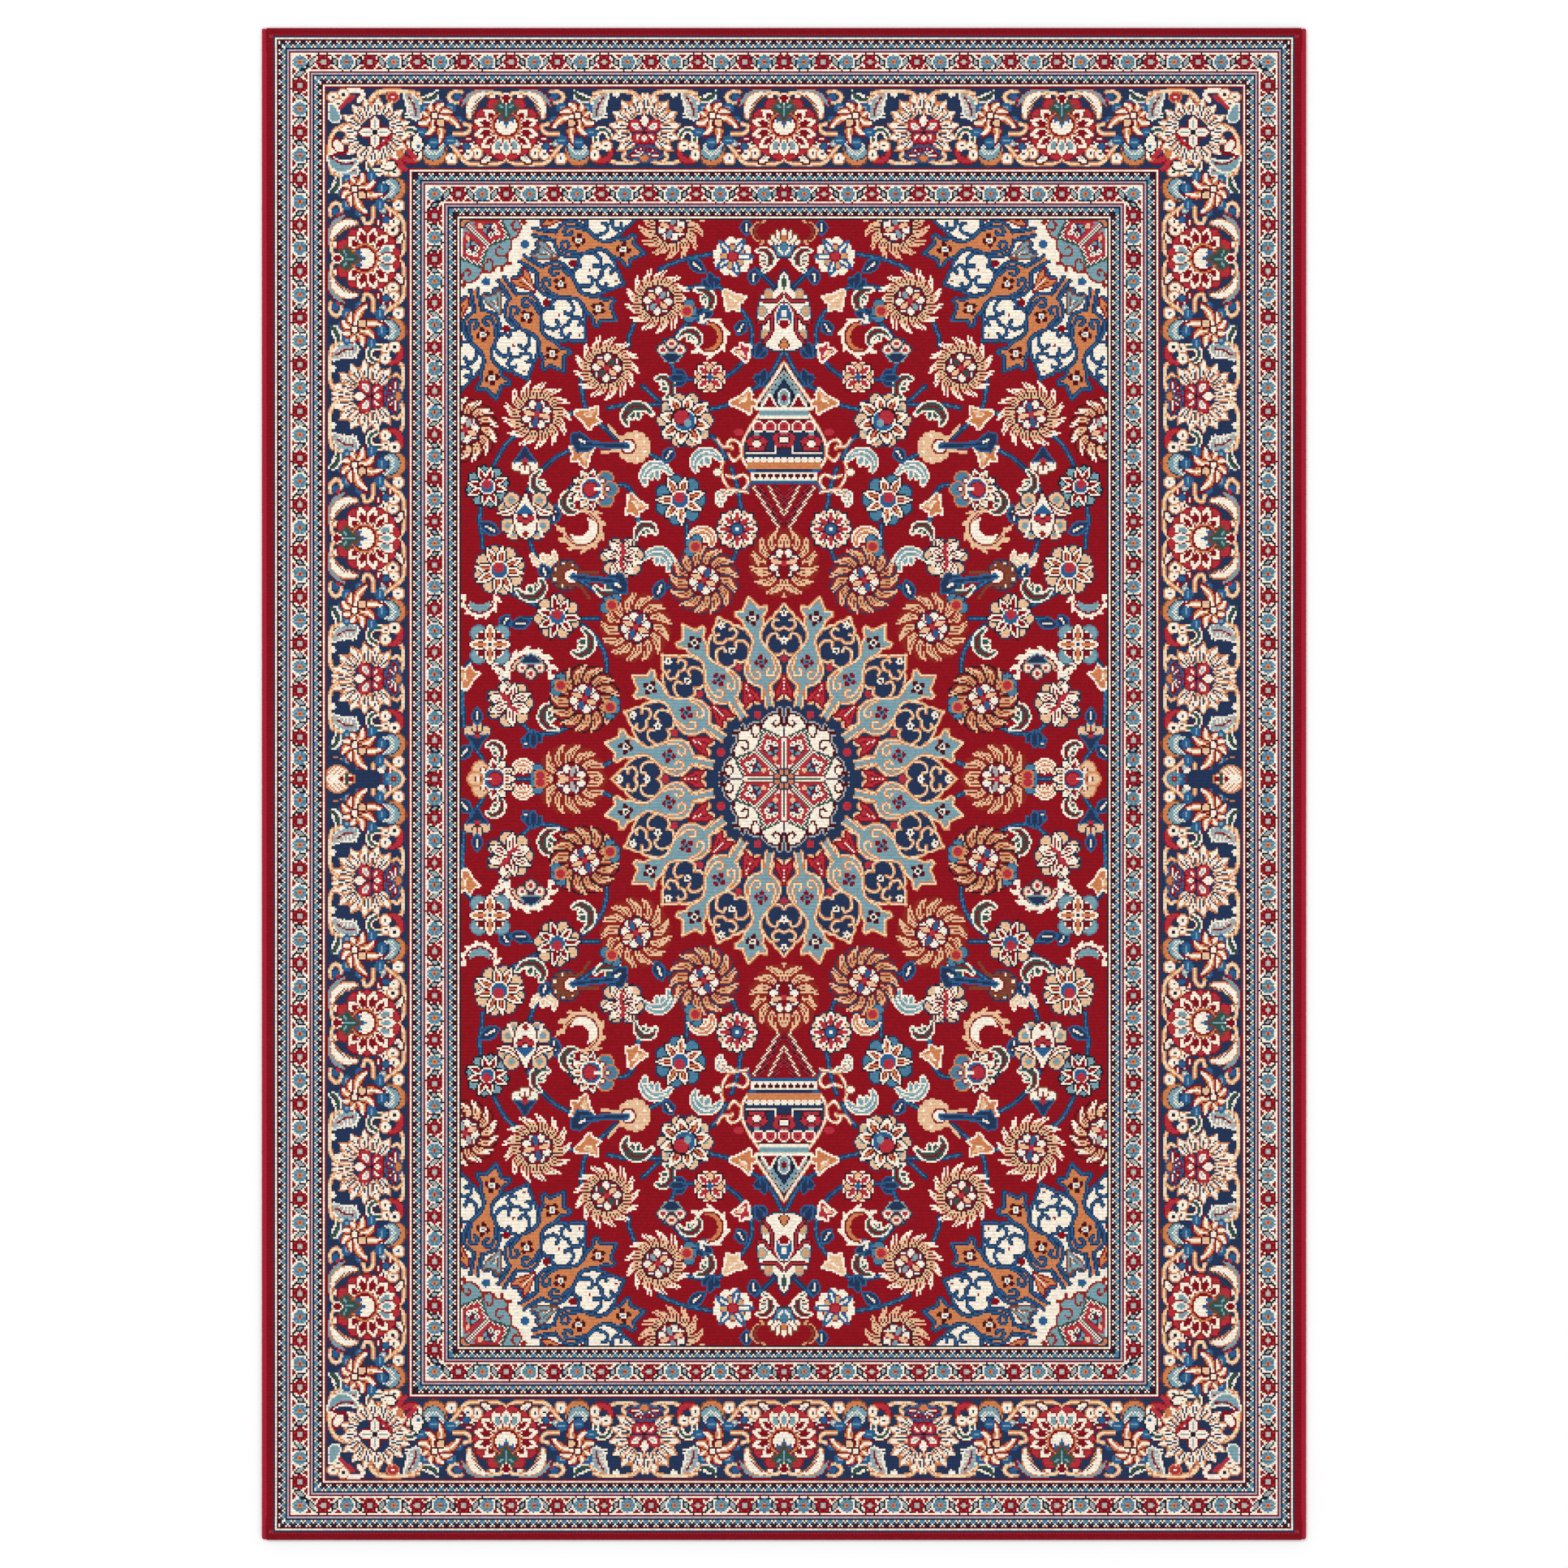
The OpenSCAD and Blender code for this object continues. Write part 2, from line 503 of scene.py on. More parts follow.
def eyed(pen, s, c, radius=2.9, body="cream", eye="ink", edge="orange"):
    """A round blossom with an eye."""
    pen.disc(s, c, radius, body, edge, 0.6)
    pen.disc(s, c, radius * 0.3, eye)


def border_palmette(pen):
    """A wide palmette whose calyx is on the outer side, with rose buds between its petals."""
    for angle in (62, 28, 0, -26, -52, -78, -102, -128, -154, 180, 152, 118):
        pen.disc(*polar(15.4, angle), 3.8, "rose", "wine", 0.7)
    for side in (-1, 1):
        for angle, reach in ((40, 17), (13, 19), (-13, 19), (-39, 18.4), (-65, 17.6), (-90, 17)):
            way = np.array([side, 1])
            pen.petal(way * polar(5, angle), way * polar(reach, angle), 6.4, 0.62, "cream", "brick", 0.7)
            core = "wine" if angle > -60 else "sky"
            pen.petal(way * polar(8, angle), way * polar(reach - 2.6, angle), 3.6, 0.55, core)
    pen.disc(0, 1.6, (7.8, 7.2), "wine", "orange", 0.9)
    pen.disc(0, 1.4, (6.2, 5.6), "cream")
    crown = [(-5, 6.6), (-4.4, 2.4), (-2.2, 4.4), (0, 0.4), (2.2, 4.4), (4.4, 2.4), (5, 6.6)]
    pen.fill(crown, "blue")
    shield = both_sides([(0, 4.4), (2.4, 7), (3.2, 9.6), (5.4, 10.4), (7, 13.2), (4.8, 13.6),
                         (4.8, 16), (2, 15.6), (0, 17.4)])
    pen.fill(shield, "green", "brown", 0.9)
    pen.line([(0, 8), (0, 13)], 1.2, "sky")
    for side in (-1, 1):
        pen.line([(side * 2, 12.6), (side * 4.4, 13.4)], 1.1, "sky")
    pen.disc(0, 17.6, (2.2, 2.4), "wine", "cream", 0.7)


def border_star(pen):
    """A lopsided star flower with blue leaves between its petals."""
    heart = np.array([42.4, 7.4])
    for s, c in ((29, 4.4), (33, 12), (40, 14), (48, 12), (50.4, -2.6), (43, -8.6), (33, -7.4)):
        pen.disc(s, c, (3.4, 3), "blue")
        pen.line([(s - 1.4, c), (s + 1.4, c)], 1.0, "sky")
    tips = [(31, 9.6), (36.6, 15.6), (45, 15), (50.4, 9.8), (53.4, 1.8), (47.6, -5.8), (39, -10.6),
            (25.6, -0.8)]
    for tip in np.array(tips):
        bend = (heart + tip) / 2 + (tip - heart)[::-1] * (0.12, -0.12)
        pen.ribbon([heart, bend, tip], (3.4, 6.2, 0.8), "wine")
        pen.ribbon([heart, bend, heart + (tip - heart) * 0.9], (2, 4.4, 0.6), "orange")
        pen.curve([heart, bend, heart + (tip - heart) * 0.84], 1.7, "cream")
    pen.disc(*(heart - (3.6, 4.4)), 2.2, "sand", "maroon", 0.8)
    pen.disc(*heart, 1.9, "cream", "maroon", 0.8)


def border_crescent(pen):
    """A sky-blue half moon with a feathered edge in an orange cup."""
    pen.petal((43, -19), (43.6, -23.6), 3.4, 0.4, "orange", "brown", 0.4)
    cup = [(35.6, -11.6), (38, -18.4), (43, -20.4), (47, -18.8), (48.6, -13.4)]
    pen.ribbon(cup, (1, 4, 1), "orange", "brown", 0.5)
    moon = np.array([(36.6, -9.6), (39.4, -14.6), (43.4, -16.2), (46.8, -14.4), (46.8, -10.4)])
    pen.ribbon(moon, (1, 5.4, 1), "sky", "navy", 0.5)
    pen.dots(smooth((moon - (43, -10)) * 0.86 + (43, -10)), 2.4, "cream", 2)
    band_line(pen, [(34.4, -8.6), (31, -12), (27.6, -16.4)], 1.3)
    eyed(pen, 32.4, -18.4, 3.1, "cream", "blue")


def border_trefoils(pen):
    """The cream blossoms and the two-coloured trefoils that fill the inner side."""
    for s, c in ((18.6, -9.6), (17.4, -15), (22.6, -15.6)):
        eyed(pen, s, c, 3.0)
    for s, c in ((21.8, -6.6), (26.6, -9), (27, -13.6)):
        pen.disc(s, c, (2.5, 2.2), "wine", "navy", 0.5)
        pen.line([(s - 1.2, c - 0.4), (s + 1.2, c + 0.4)], 1.1, "cream")
    pen.disc(23.6, -11, 1.8, "blue", "navy", 0.6)
    eyed(pen, 29.2, -9.4, 2.0, "grey", "cream", "navy")
    petals = [(51.4, -18.6), (55.6, -19.8), (60.6, -17.8), (62.8, -12.8)]
    pen.ribbon(petals, (1.6, 3.4, 1.4), "rose", "wine", 0.5)
    for s, c in ((54, -11.4), (59.4, -10.6), (52.6, -16)):
        eyed(pen, s, c, 3.0)
    pen.disc(57, -14.4, 1.9, "navy")


def border_acanthus(pen):
    """The acanthus leaves and stems round a palmette."""
    pen.ribbon([(8, 22.8), (17, 21.8), (23, 18), (26.4, 13)], (0.8, 2.8, 0.8), "sky", "wine", 0.6)
    band_line(pen, [(0.8, 17.8), (3.6, 20.6), (8, 21.2), (12, 20.6)])
    pen.disc(8.4, 18.8, (1.6, 1.4), "cream", "orange", 0.4)
    arch_leaf = [(11, 20.8), (16, 19.2), (20, 15), (21.6, 10), (21.8, 5.6)]
    pen.ribbon(arch_leaf, (1.4, 5, 0.6), "cream", "orange", 0.6)
    pen.dots(smooth(arch_leaf) * (0.92, 0.93), 1.8, "brown", 2)
    band_line(pen, [(26.4, 21.4), (31, 21.6), (34, 18.4), (32, 15.4), (29, 15.4)], 1.6)
    pen.disc(28.4, 18.6, 2.2, "blue", "navy", 0.5)
    pen.disc(27, 17, 1.2, "rose")
    band_line(pen, [(24.6, 2.4), (21.4, 1), (22.2, -2), (26, -3.6), (31, -3.6)], 1.5)
    band_line(pen, [(0.6, -18.4), (3.6, -20.8), (8, -21.6), (20, -21.6), (25, -19.8), (27.4, -17)], 1.5)
    pen.ribbon([(15, -20.6), (11, -18.4), (9, -14)], (1, 3.4, 0.6), "cream", "maroon", 0.8)
    pen.line([(12.4, -19), (10.4, -16.4)], 1.0, "grey")


def border_feather(pen):
    """The feathery leaf and the large pale one, on the border's outer side."""
    spine = [(52.4, 16.8), (46.4, 17.2), (42.2, 19), (40.6, 22.6)]
    pen.ribbon(spine, (1.6, 6, 1.6), "cream", "navy", 0.5)
    pen.line(smooth(spine)[2:-2], 2.4, "green")
    pen.dots(smooth(spine)[2:-2] + (0.6, 0.8), 1.4, "ink", 3)
    band_line(pen, [(48, 12), (50.6, 16), (52, 20)], 1.4)
    pale = smooth([(60, 20.4), (54.6, 18.6), (51, 13), (51.4, 7), (54.6, 5.6), (58, 9), (58.4, 14)], True)
    pen.fill(pale, "grey", "cream", 0.9)
    for c in (7, 9.4, 11.8, 14.2, 16.6):
        pen.line([(55.4, c), (59.4, c - 0.8)], 1.0, "cream")
        pen.line([(51.4, c - 0.4), (53.4, c)], 1.0, "sky")
    pen.curve([(57.4, 18), (54.4, 13), (53.6, 8)], 1.2, "wine")
    band_line(pen, [(52, 20.4), (58, 21.8), (70, 22), (76, 20.6), (79.4, 17.4)], 1.6)
    pen.disc(65.4, 20, (1.9, 1.6), "cream")


def border_curl(pen):
    """The green curl, and the stems under the rosette."""
    arch = [(52.8, -8.6), (52.8, -4), (55.4, -1.2), (59.4, -1.8), (61.4, -5)]
    band_line(pen, arch, 4.2, "cream", "maroon")
    pen.curve(arch, 1.8, "green")
    band_line(pen, [(60.6, -18), (65, -20.8), (75, -20.8), (80, -18.6)], 1.5)
    band_line(pen, [(70.6, -15), (69, -17.4), (72, -20.2)], 1.1)


def border_rosette(pen, full=False):
    """A shaggy rosette of cream flames. It has a base on its inner side, unless the flames go all
    the way round."""
    for angle in np.arange(0, 360, 22.5) if full else np.arange(-45, 226, 22.5):
        lean = 6 if full else math.copysign(5, 89 - angle)
        for k, reach in ((-1, 17.2), (1, 18), (0, 21)):
            root, tip = polar(7, angle + 5 * k), polar(reach, angle + 7 * k + lean)
            pen.petal(root, tip, 3.6, 0.66, "cream", "orange", 0.4)
        for k in (angle - 4, angle + 4):
            pen.line([polar(10, k), polar(16.4, k + lean * 0.7)], 0.8, "navy")
    pen.disc(0, 0, (9.4, 9), "navy")
    pen.dots(ellipse(0, 0, 9.4, 9), 1.6, "sand", 2)
    rosette_cross(pen.at(0, -2.4))
    pen.disc(0, 4.4, (2.2, 3.2), "cream", "wine", 0.6)
    pen.disc(0, -2.4, 1.2, "ink")
    if not full:
        rosette_base(pen.at(0, -17.2))


def rosette_cross(pen):
    """The crossed rose petals in the middle of a rosette."""
    for angle, reach in ((34, 11), (146, 11), (-46, 8.6), (-134, 8.6), (-90, 7)):
        pen.petal((0, 0), polar(reach, angle), 7.2, 0.66, "rose", "wine", 0.4)
        pen.petal(polar(1.6, angle), polar(reach - 1.8, angle), 3.8, 0.66, "cream")
        pen.line([polar(3, angle), polar(reach - 3.6, angle)], 1.0, "grey")


def rosette_base(pen):
    """The wine and blue fan that a rosette stands on."""
    pen.disc(0, 2, (11, 4.6), "navy")
    for angle in (8, 36, 64, 90, 116, 144, 172):
        reach = 11 - 4 * math.sin(math.radians(angle))
        pen.petal((0, 0), polar(reach, angle), 4.0, 0.66, "wine", "blue", 0.4)
        pen.line([polar(3, angle), polar(reach - 2.6, angle)], 0.9, "cream")
    pen.disc(0, -1.6, (5, 1.8), "blue")
    pen.disc(0, -1, (2.6, 1.8), "orange", "brown", 0.4)


def side_tulip(pen, middle_u):
    """The tulip and the blue flower at the middle of each side, on plain ground."""
    side = pen.at(middle_u, 0)
    side.fill([(-8, -9), (25, -9), (25, 13), (16, 12), (8, 5.6), (-8, 5.6)], "navy")
    body = [(8, -1.8), (8, 1.8), (11, 2.2), (12.6, 5.2), (16, 7.6), (20, 7), (23, 4), (24, 0), (23, -4),
            (20, -7)]
    side.fill(body, "cream", "orange", 0.9, hatch="orange")
    side.disc(19, 0, (3, 2.4), "cream")
    side.fill([(11, -3), (11, 3), (13.6, 4), (13, 0)], "green")
    for u in (9.4, 15):
        side.disc(u, 0, 1.5, "wine")
    small_flower(side.at(-15.4, 0), 4.8, 8, "steel", "sky", "brick", "orange")
    side.petal((-11, 4), (-5.6, 6), 3, 0.6, "cream")


def border_half(pen, rosette):
    """Everything from a palmette to the next rosette."""
    border_acanthus(pen)
    border_feather(pen)
    border_curl(pen)
    border_trefoils(pen)
    border_crescent(pen)
    border_star(pen)
    if rosette:
        border_rosette(pen.at(PALMETTE_TO_ROSETTE, 0))


def lay_main_border(pen):
    """The repeats along the end and the side, and the rosette that turns the corner."""
    beyond_field = len(INNER_BORDER) + MAIN / 2
    middle_u, middle_v = FIELD_U + beyond_field, FIELD_V + beyond_field
    # for each half repeat: its palmette, which way it runs, its stretch, and whether it has a rosette
    near, far = END_PALMETTES
    ends = [(near, 1, 0.99, True), (far, -1, 0.99, True), (far, 1, 0.99, False)]
    near, far = SIDE_PALMETTES
    sides = [(far, 1, 0.98, False), (far, -1, 1.005, True), (near, 1, 1.036, True),
             (near, -1, 1.02, True), (ACROSS_MIDDLE, 1, 1.0, True)]
    for start, way, stretch, rosette in ends:
        border_half(pen.at(start, middle_v, 0, (way * stretch, 1)), rosette)
    for start, way, stretch, rosette in sides:
        border_half(pen.at(middle_u, start, 90, (way * stretch, -1)), rosette)
    for start in END_PALMETTES:
        border_palmette(pen.at(start, middle_v))
    for start in SIDE_PALMETTES:
        border_palmette(pen.at(middle_u, start, 90, (1, -1)))
    side_tulip(pen, middle_u)
    corner = pen.at(*CORNER_ROSETTE, -45)
    lay_corner_leaves(pen)
    border_rosette(corner, True)
    corner.disc(0, 1, (11, 8), "navy")
    for angle in (0, 90, 180, 270):
        arm = pen.at(*CORNER_ROSETTE, angle)
        arm.petal((0, 0), (0, 9.4), 5.6, 0.55, "cream", "wine", 0.8)
        arm.line([(0, 3), (0, 7)], 1.4, "grey")
    pen.disc(*CORNER_ROSETTE, 1.6, "ink")


def lay_corner_leaves(pen):
    """What fills the border's corner square round its rosette."""
    band_line(pen, [(217, 410.6), (224, 411.6), (236, 411.6), (241, 409), (243.6, 404.6)], 1.6)
    eyed(pen, 229.4, 408, 3.0, "rose", "cream")
    band_line(pen, [(249.4, 406), (247, 409.6), (249.4, 412), (256, 412)], 2.6, "cream", "wine")
    for u, v in ((258.6, 409.6), (264.6, 408), (261.4, 404)):
        eyed(pen, u, v, 3.0)
    pen.line([(253, 408.6), (258, 404), (260.6, 401.4)], 2.6, "rose")
    drop = smooth([(265.6, 404), (261, 398), (261.4, 393.6), (265.6, 394.4), (267, 399)], True)
    pen.fill(drop, "sky", "cream", 0.8)
    band_line(pen, [(251, 390.6), (258, 391), (264, 387), (266.6, 380), (266.6, 372)], 1.6)
    pen.ribbon([(267, 373), (263, 367.6), (257, 366.4), (250.4, 370)], (1, 6, 1), "sky", "cream", 1.0)
    pen.curve([(265, 371.6), (259, 368), (253, 368.6)], 1.2, "wine")
    pen.petal((259, 374), (263.6, 383), 5, 0.55, "cream", "wine", 1.0)
    pen.line([(256, 376), (266, 372.6)], 1.8, "wine")
    pen.petal((215, 375), (215.4, 386.6), 6.6, 0.4, "cream", "ink", 0.8)
    pen.disc(214.6, 378.6, 1.2, "blue")
    pen.line([(216, 372), (223, 378)], 2.8, "rose")
    pen.line([(222, 365), (230, 371)], 2.8, "rose")
    pen.petal((227.6, 367.4), (237, 366.4), 6, 0.4, "cream", "ink", 0.8)
    for angle in (180, 205, 230, 255, 280):
        root = np.array([227, 374.6])
        pen.petal(root, root + polar(9.6, angle - 160), 4, 0.6, "wine", "ink", 0.4)
    pen.disc(226, 374, 2.4, "orange", "brown", 0.6)


# ---------------------------------------------------------------- medallion
def both_sides(points):
    """An outline from its right half, whose points run from its foot to its tip."""
    p = np.asarray(points, float)
    return np.vstack([p, (p * (-1, 1))[::-1]])


def quatrefoil(pen, radius, petals, heart, eye):
    """Four round petals in a cross, with a heart and its eye."""
    pen.ring(4, radius * 0.62, 0, radius * 0.38, petals)
    pen.disc(0, 0, radius * 0.42, heart)
    pen.disc(0, 0, radius * 0.2, eye)


def dotted_flower(pen, radius, petals, eye):
    """A little round flower with a dark eye."""
    pen.ring(5, radius * 0.6, 90, radius * 0.42, petals)
    pen.disc(0, 0, radius * 0.36, eye)


def lobe(pen, yarns):
    """A lobe between two vases, with its scrolls. Y is its distance from the medallion's middle."""
    line = yarns["line"]
    half = smooth([(0, 60), (3.5, 64), (7, 70), (12.5, 77), (14.5, 84), (12.5, 91)])
    tip = [(12.5, 91), (8.6, 96), (6.4, 96.5), (5.6, 99), (2.6, 101.6), (0, 105)]
    outline = both_sides(np.vstack([half, tip]))
    pen.fill(outline, yarns["ground"])
    pen.cord(np.vstack([outline, outline[:1]]), *line)
    for side in (-1, 1):
        for path in ([(0, 77), (2.6, 74.4), (7.6, 75.4), (10.4, 80), (8.8, 85.8), (4.6, 87), (3.4, 84)],
                     [(0, 90.6), (3.4, 89.4), (7, 91.6), (6, 95), (3.6, 95)]):
            pen.cord(smooth(path) * (side, 1), *line)
    for y in (83, 99.6):
        dotted_flower(pen.at(0, y), 2.3, "cream", yarns["eye"])
    pen.disc(0, 72, 2.2, yarns["dot"])


def slim_vase(pen, yarns):
    """A slender vase that stands on the medallion's middle, its mouth a star."""
    line = yarns["line"]
    side = smooth([(2.2, 44), (2.0, 50), (2.6, 56), (8.4, 60.5), (10.6, 66), (9.0, 72.5), (5.6, 78),
                   (2.9, 83), (2.6, 87), (4.2, 91)])
    mouth = [(5.6, 93), (6.2, 98), (9.8, 101.5), (9.4, 103.6), (5.0, 103.4), (2.6, 107), (0, 111)]
    outline = both_sides(np.vstack([side, mouth]))
    pen.fill(outline, yarns["vase"])
    pen.cord(outline, *line)
    for flip in (-1, 1):
        foot = smooth([(2.4, 57), (3.4, 51), (5.6, 47.6), (8.2, 48.4), (8, 50.4)])
        scroll = smooth([(7.2, 73.5), (7.7, 67), (5.8, 62.4), (2.6, 62.4), (2.2, 65.2), (4.2, 66.4)])
        pen.cord(foot * (flip, 1), *line)
        pen.cord(scroll * (flip, 1), *line)
    quatrefoil(pen.at(0, 71.4), 4.4, *yarns["body flower"])
    quatrefoil(pen.at(0, 98), 4.6, *yarns["mouth flower"])


def dart(pen, dark, light):
    """A dart in the gap between two vases' feet, its long tip pointing outwards."""
    outline = both_sides([(0, 50.6), (1.6, 51.6), (4.8, 48.6), (4.6, 53), (2.4, 57), (0, 62.6)])
    pen.fill(outline, light, dark, 0.9)
    for side in (-1, 1):
        pen.line([(0, 59), (side * 2.2, 52.6)], 0.9, dark)
    pen.dots([(0, 53), (0, 61)], 1.0, "cream", 2)


def star_medallion(pen, yarns):
    """The quarter of a medallion that shows: lobes and vases by turns, then the middle."""
    pen.fill(ellipse(0, 0, 64, steps=60), yarns["ground"])
    # its lobes are a sixteenth of the circle apart
    lobes = [pen.at(0, 0, 22.5 * i) for i in range(-4, 1)]
    for place in lobes:
        lobe(place, yarns)
    for i in range(-4, 0):
        slim_vase(pen.at(0, 0, 22.5 * i + 11.25), yarns)
    for i, place in enumerate(lobes):
        dart(place, *yarns["darts"][i % 2])
        if i % 2:
            place.disc(0, 41.6, 2.5, yarns["bead"])
    cloud_ring(pen, yarns)
    wheel(pen)


def cloud_ring(pen, yarns):
    """The ring of clouds round the wheel, one quarter of it repeated by its mirrors."""
    quarter = smooth([(0.4, 31.6), (1.4, 36.6), (4, 38.6), (9, 38), (12, 34.6), (13.6, 32.6), (19.4, 32.4),
                      (21.8, 29.4), (26.4, 28.6), (28.2, 26), (28, 22.4), (30.6, 18), (30.6, 13.4),
                      (33.4, 11.4), (35.6, 8), (36, 4.4), (33.6, 0.6)])
    curls = ([(1.4, 36.6), (2.6, 33), (5.2, 31.4), (6.8, 33), (5.4, 34.8)],
             [(13.6, 32.6), (14.4, 28.6)], [(19.4, 31), (19.6, 27.6), (17.6, 24.8), (16, 26.6)],
             [(27.6, 22.6), (23, 22.8), (21.4, 19.6), (23.6, 17.4), (25.4, 19)],
             [(30.6, 13.4), (27, 12.4)], [(35.2, 7), (32.4, 7.6), (31, 4.6), (32.8, 2.4)])
    beads = [(2.6, 40.4, 1.2, 2.0), (25, 30.4, 1.1, 2.0), (29.4, 27.4, 2.0, 1.1), (37.6, 3, 2.0, 1.2)]
    mirrors = [np.array([x, y]) for x in (-1, 1) for y in (-1, 1)]
    for mirror in mirrors:
        pen.line(quarter * mirror, 3.0, yarns["halo"])
        for bead in beads:
            pen.fill(ellipse(*bead) * mirror, yarns["curl"], yarns["halo"], 0.6)
    for mirror in mirrors:
        pen.fill(np.vstack([quarter, (0, 0)]) * mirror, yarns["cloud"])
        pen.line(quarter * mirror, 1.2, yarns["curl"])
        for curl in curls:
            pen.line(smooth(curl) * mirror, 1.3, yarns["curl"])


def wheel_panel(pen):
    """A kite-shaped panel of the wheel with its blossoms. It points along +Y."""
    kite = np.array([(0, 8.5), (8.4, 20.5), (0, 31), (-8.4, 20.5)])
    middle = np.array([0, 19.6])
    pen.fill(kite, "rose")
    pen.fill(middle + (kite - middle) * 0.56, "navy", "brick", 0.3)
    pen.petal((0, 11.4), (0, 15.6), 2.8, 0.5, "sand")
    for side in (-1, 1):
        pen.petal((0, 15.6), (side * 3, 18.6), 2.0, 0.6, "sky")
    pen.disc(0, 19.4, 1.4, "wine")
    for x, y in ((0, 24), (-2.7, 21.2), (2.7, 21.2)):
        pen.disc(x, y, 1.7, "cream")
        pen.disc(x, y, 0.6, "brown")


def wheel(pen):
    """The eight-spoked wheel in the middle, with a beaded rim."""
    for i in range(8):
        wheel_panel(pen.at(0, 0, 45 * i + 22.5))
    star = np.array([polar(23.4 if k % 2 == 0 else 31.4, 22.5 * k) for k in range(17)])
    pen.line(star * 1.02, 1.8, "green")
    pen.line(star * 0.97, 1.7, "maroon")
    pen.dots(star * 0.97, 1.7, "cream", 2)
    for i in range(8):
        spoke = pen.at(0, 0, 45 * i)
        spoke.line([(0, 6), (0, 23)], 4.6, "brick" if i % 4 == 2 else "rose")
        spoke.line([(0, 6), (0, 23.4)], 3.2, "cream")
        if i % 2:
            spoke.dots([(0, 6), (0, 23)], 3.2, "green", 2)
        else:
            spoke.line([(0, 6), (0, 22)], 0.9, "green")
    pen.fill(ellipse(0, 0, 6.6, steps=16), "navy")
    for i in range(8):
        pen.at(0, 0, 45 * i + 22.5).petal((0, 1), (0, 6.2), 3.0, 0.6, "orange")
    pen.disc(0, 0, 1.9, "cream", "navy", 0.5)


# "line" is the width, rim, core and edge of the outlines, "darts" the edge and body of each kind
MEDALLION_YARNS = {
    "ground": "navy", "vase": "sky", "line": (1.0, 0.9, "straw", "orange"), "dot": "rose", "bead": "rose",
    "body flower": ("wine", "steel", "maroon"), "mouth flower": ("maroon", "cream", "ink"), "eye": "ink",
    "darts": (("wine", "rose"), ("wine", "rose")), "halo": "grey", "cloud": "cream", "curl": "maroon",
}
CORNER_YARNS = {
    "ground": "cream", "vase": "orange", "line": (1.0, 1.5, "blue", "navy"), "dot": "wine", "bead": "blue",
    "body flower": ("maroon", "cream", "steel"), "mouth flower": ("maroon", "cream", "steel"),
    "eye": "brick", "darts": (("wine", "orange"), ("brown", "sky")), "halo": "cream", "cloud": "sky",
    "curl": "brick",
}


def lay_medallions(pen):
    """The medallion in the middle, and the quarter of another in the field's corner."""
    star_medallion(pen.at(FIELD_U, FIELD_V + 0.5, 180), CORNER_YARNS)
    squeeze = 0.965   # the middle one came off the loom a little narrow
    star_medallion(pen.at(0, 0, 0, (squeeze, 1)), MEDALLION_YARNS)


# ---------------------------------------------------------------- flowers of the field
def striped_petal(pen, start, end, angle, width, core="orange", gap="wine", edge="ink"):
    """A pointed petal with a light rim, a line inside the rim and a coloured core."""
    base, tip = polar(start, angle), polar(end, angle)
    pen.petal(base, tip, width, 0.5, "cream", edge, 0.6)
    pen.petal(base, polar(end - 0.13 * width * 3, angle), width * 0.56, 0.5, gap)
    pen.line([polar(start + 1, angle), polar(0.76 * end, angle)], 1.1, core)


def sunburst(pen, radius, inner, outer, dark, eye):
    """A shaggy round flower: tufts of curling strands round a heart of white petals. dark is the
    yarn of the lines between its tufts, where it has them."""
    tufts = 13
    pen.disc(0, 0, radius * 0.68, "maroon")
    for i in range(tufts):
        a = 360 * i / tufts
        if dark:
            path = [polar(radius * 0.4, a), polar(radius * 0.74, a + 6), polar(radius * 0.97, a + 16)]
            pen.ribbon(path, (radius * 0.26, radius * 0.36, radius * 0.14), "brick", dark, 0.8)
        for k, reach in ((-1, 0.88), (0, 0.97), (1, 1.0)):
            start = a + k * 120 / tufts
            end = a + 16 + k * 80 / tufts
            path = smooth([polar(radius * 0.42, start), polar(radius * 0.74, 0.65 * start + 0.35 * end),
                           polar(radius * reach, end)])
            pen.line(path[:9], 1.15, inner)
            pen.line(path[8:], 1.2, outer)
    burst_heart(pen, radius * 0.47, eye)


def burst_heart(pen, radius, eye):
    """The heart of a sunburst: white petals in a dark ring, parted by coloured ones."""
    pen.disc(0, 0, radius, "wine", "maroon", 0.5)
    pen.ring(8, radius * 0.66, 22.5, radius * 0.25, "cream", "navy", 0.4)
    for i in range(4):
        tip = polar(radius * 0.86, 90 * i + 12)
        pen.petal((0, 0), tip, radius * 0.34, 0.6, eye if i % 2 else "sand", "wine", 0.5)
    pen.disc(0, 0, radius * 0.17, "rose")


def star_flower(pen, radius=15, points=8, back="sand", rim="navy", core="orange"):
    """An open flower: striped pointed petals over a ring of round ones."""
    pen.ring(points, radius * 0.74, 180 / points, radius * 0.24, back, rim, 0.9)
    for i in range(points):
        # every other petal is a little longer and leans, as they do when they are drawn by hand
        a = 360 * i / points + (9 if i % 2 else 0)
        striped_petal(pen, 2, radius * (1.03 if i % 2 else 0.95), a, radius * 0.36, core)
    pen.disc(0, 0, radius * 0.32, "blue", "cream", 0.6)
    pen.disc(radius * 0.05, radius * 0.1, radius * 0.22, "rose")


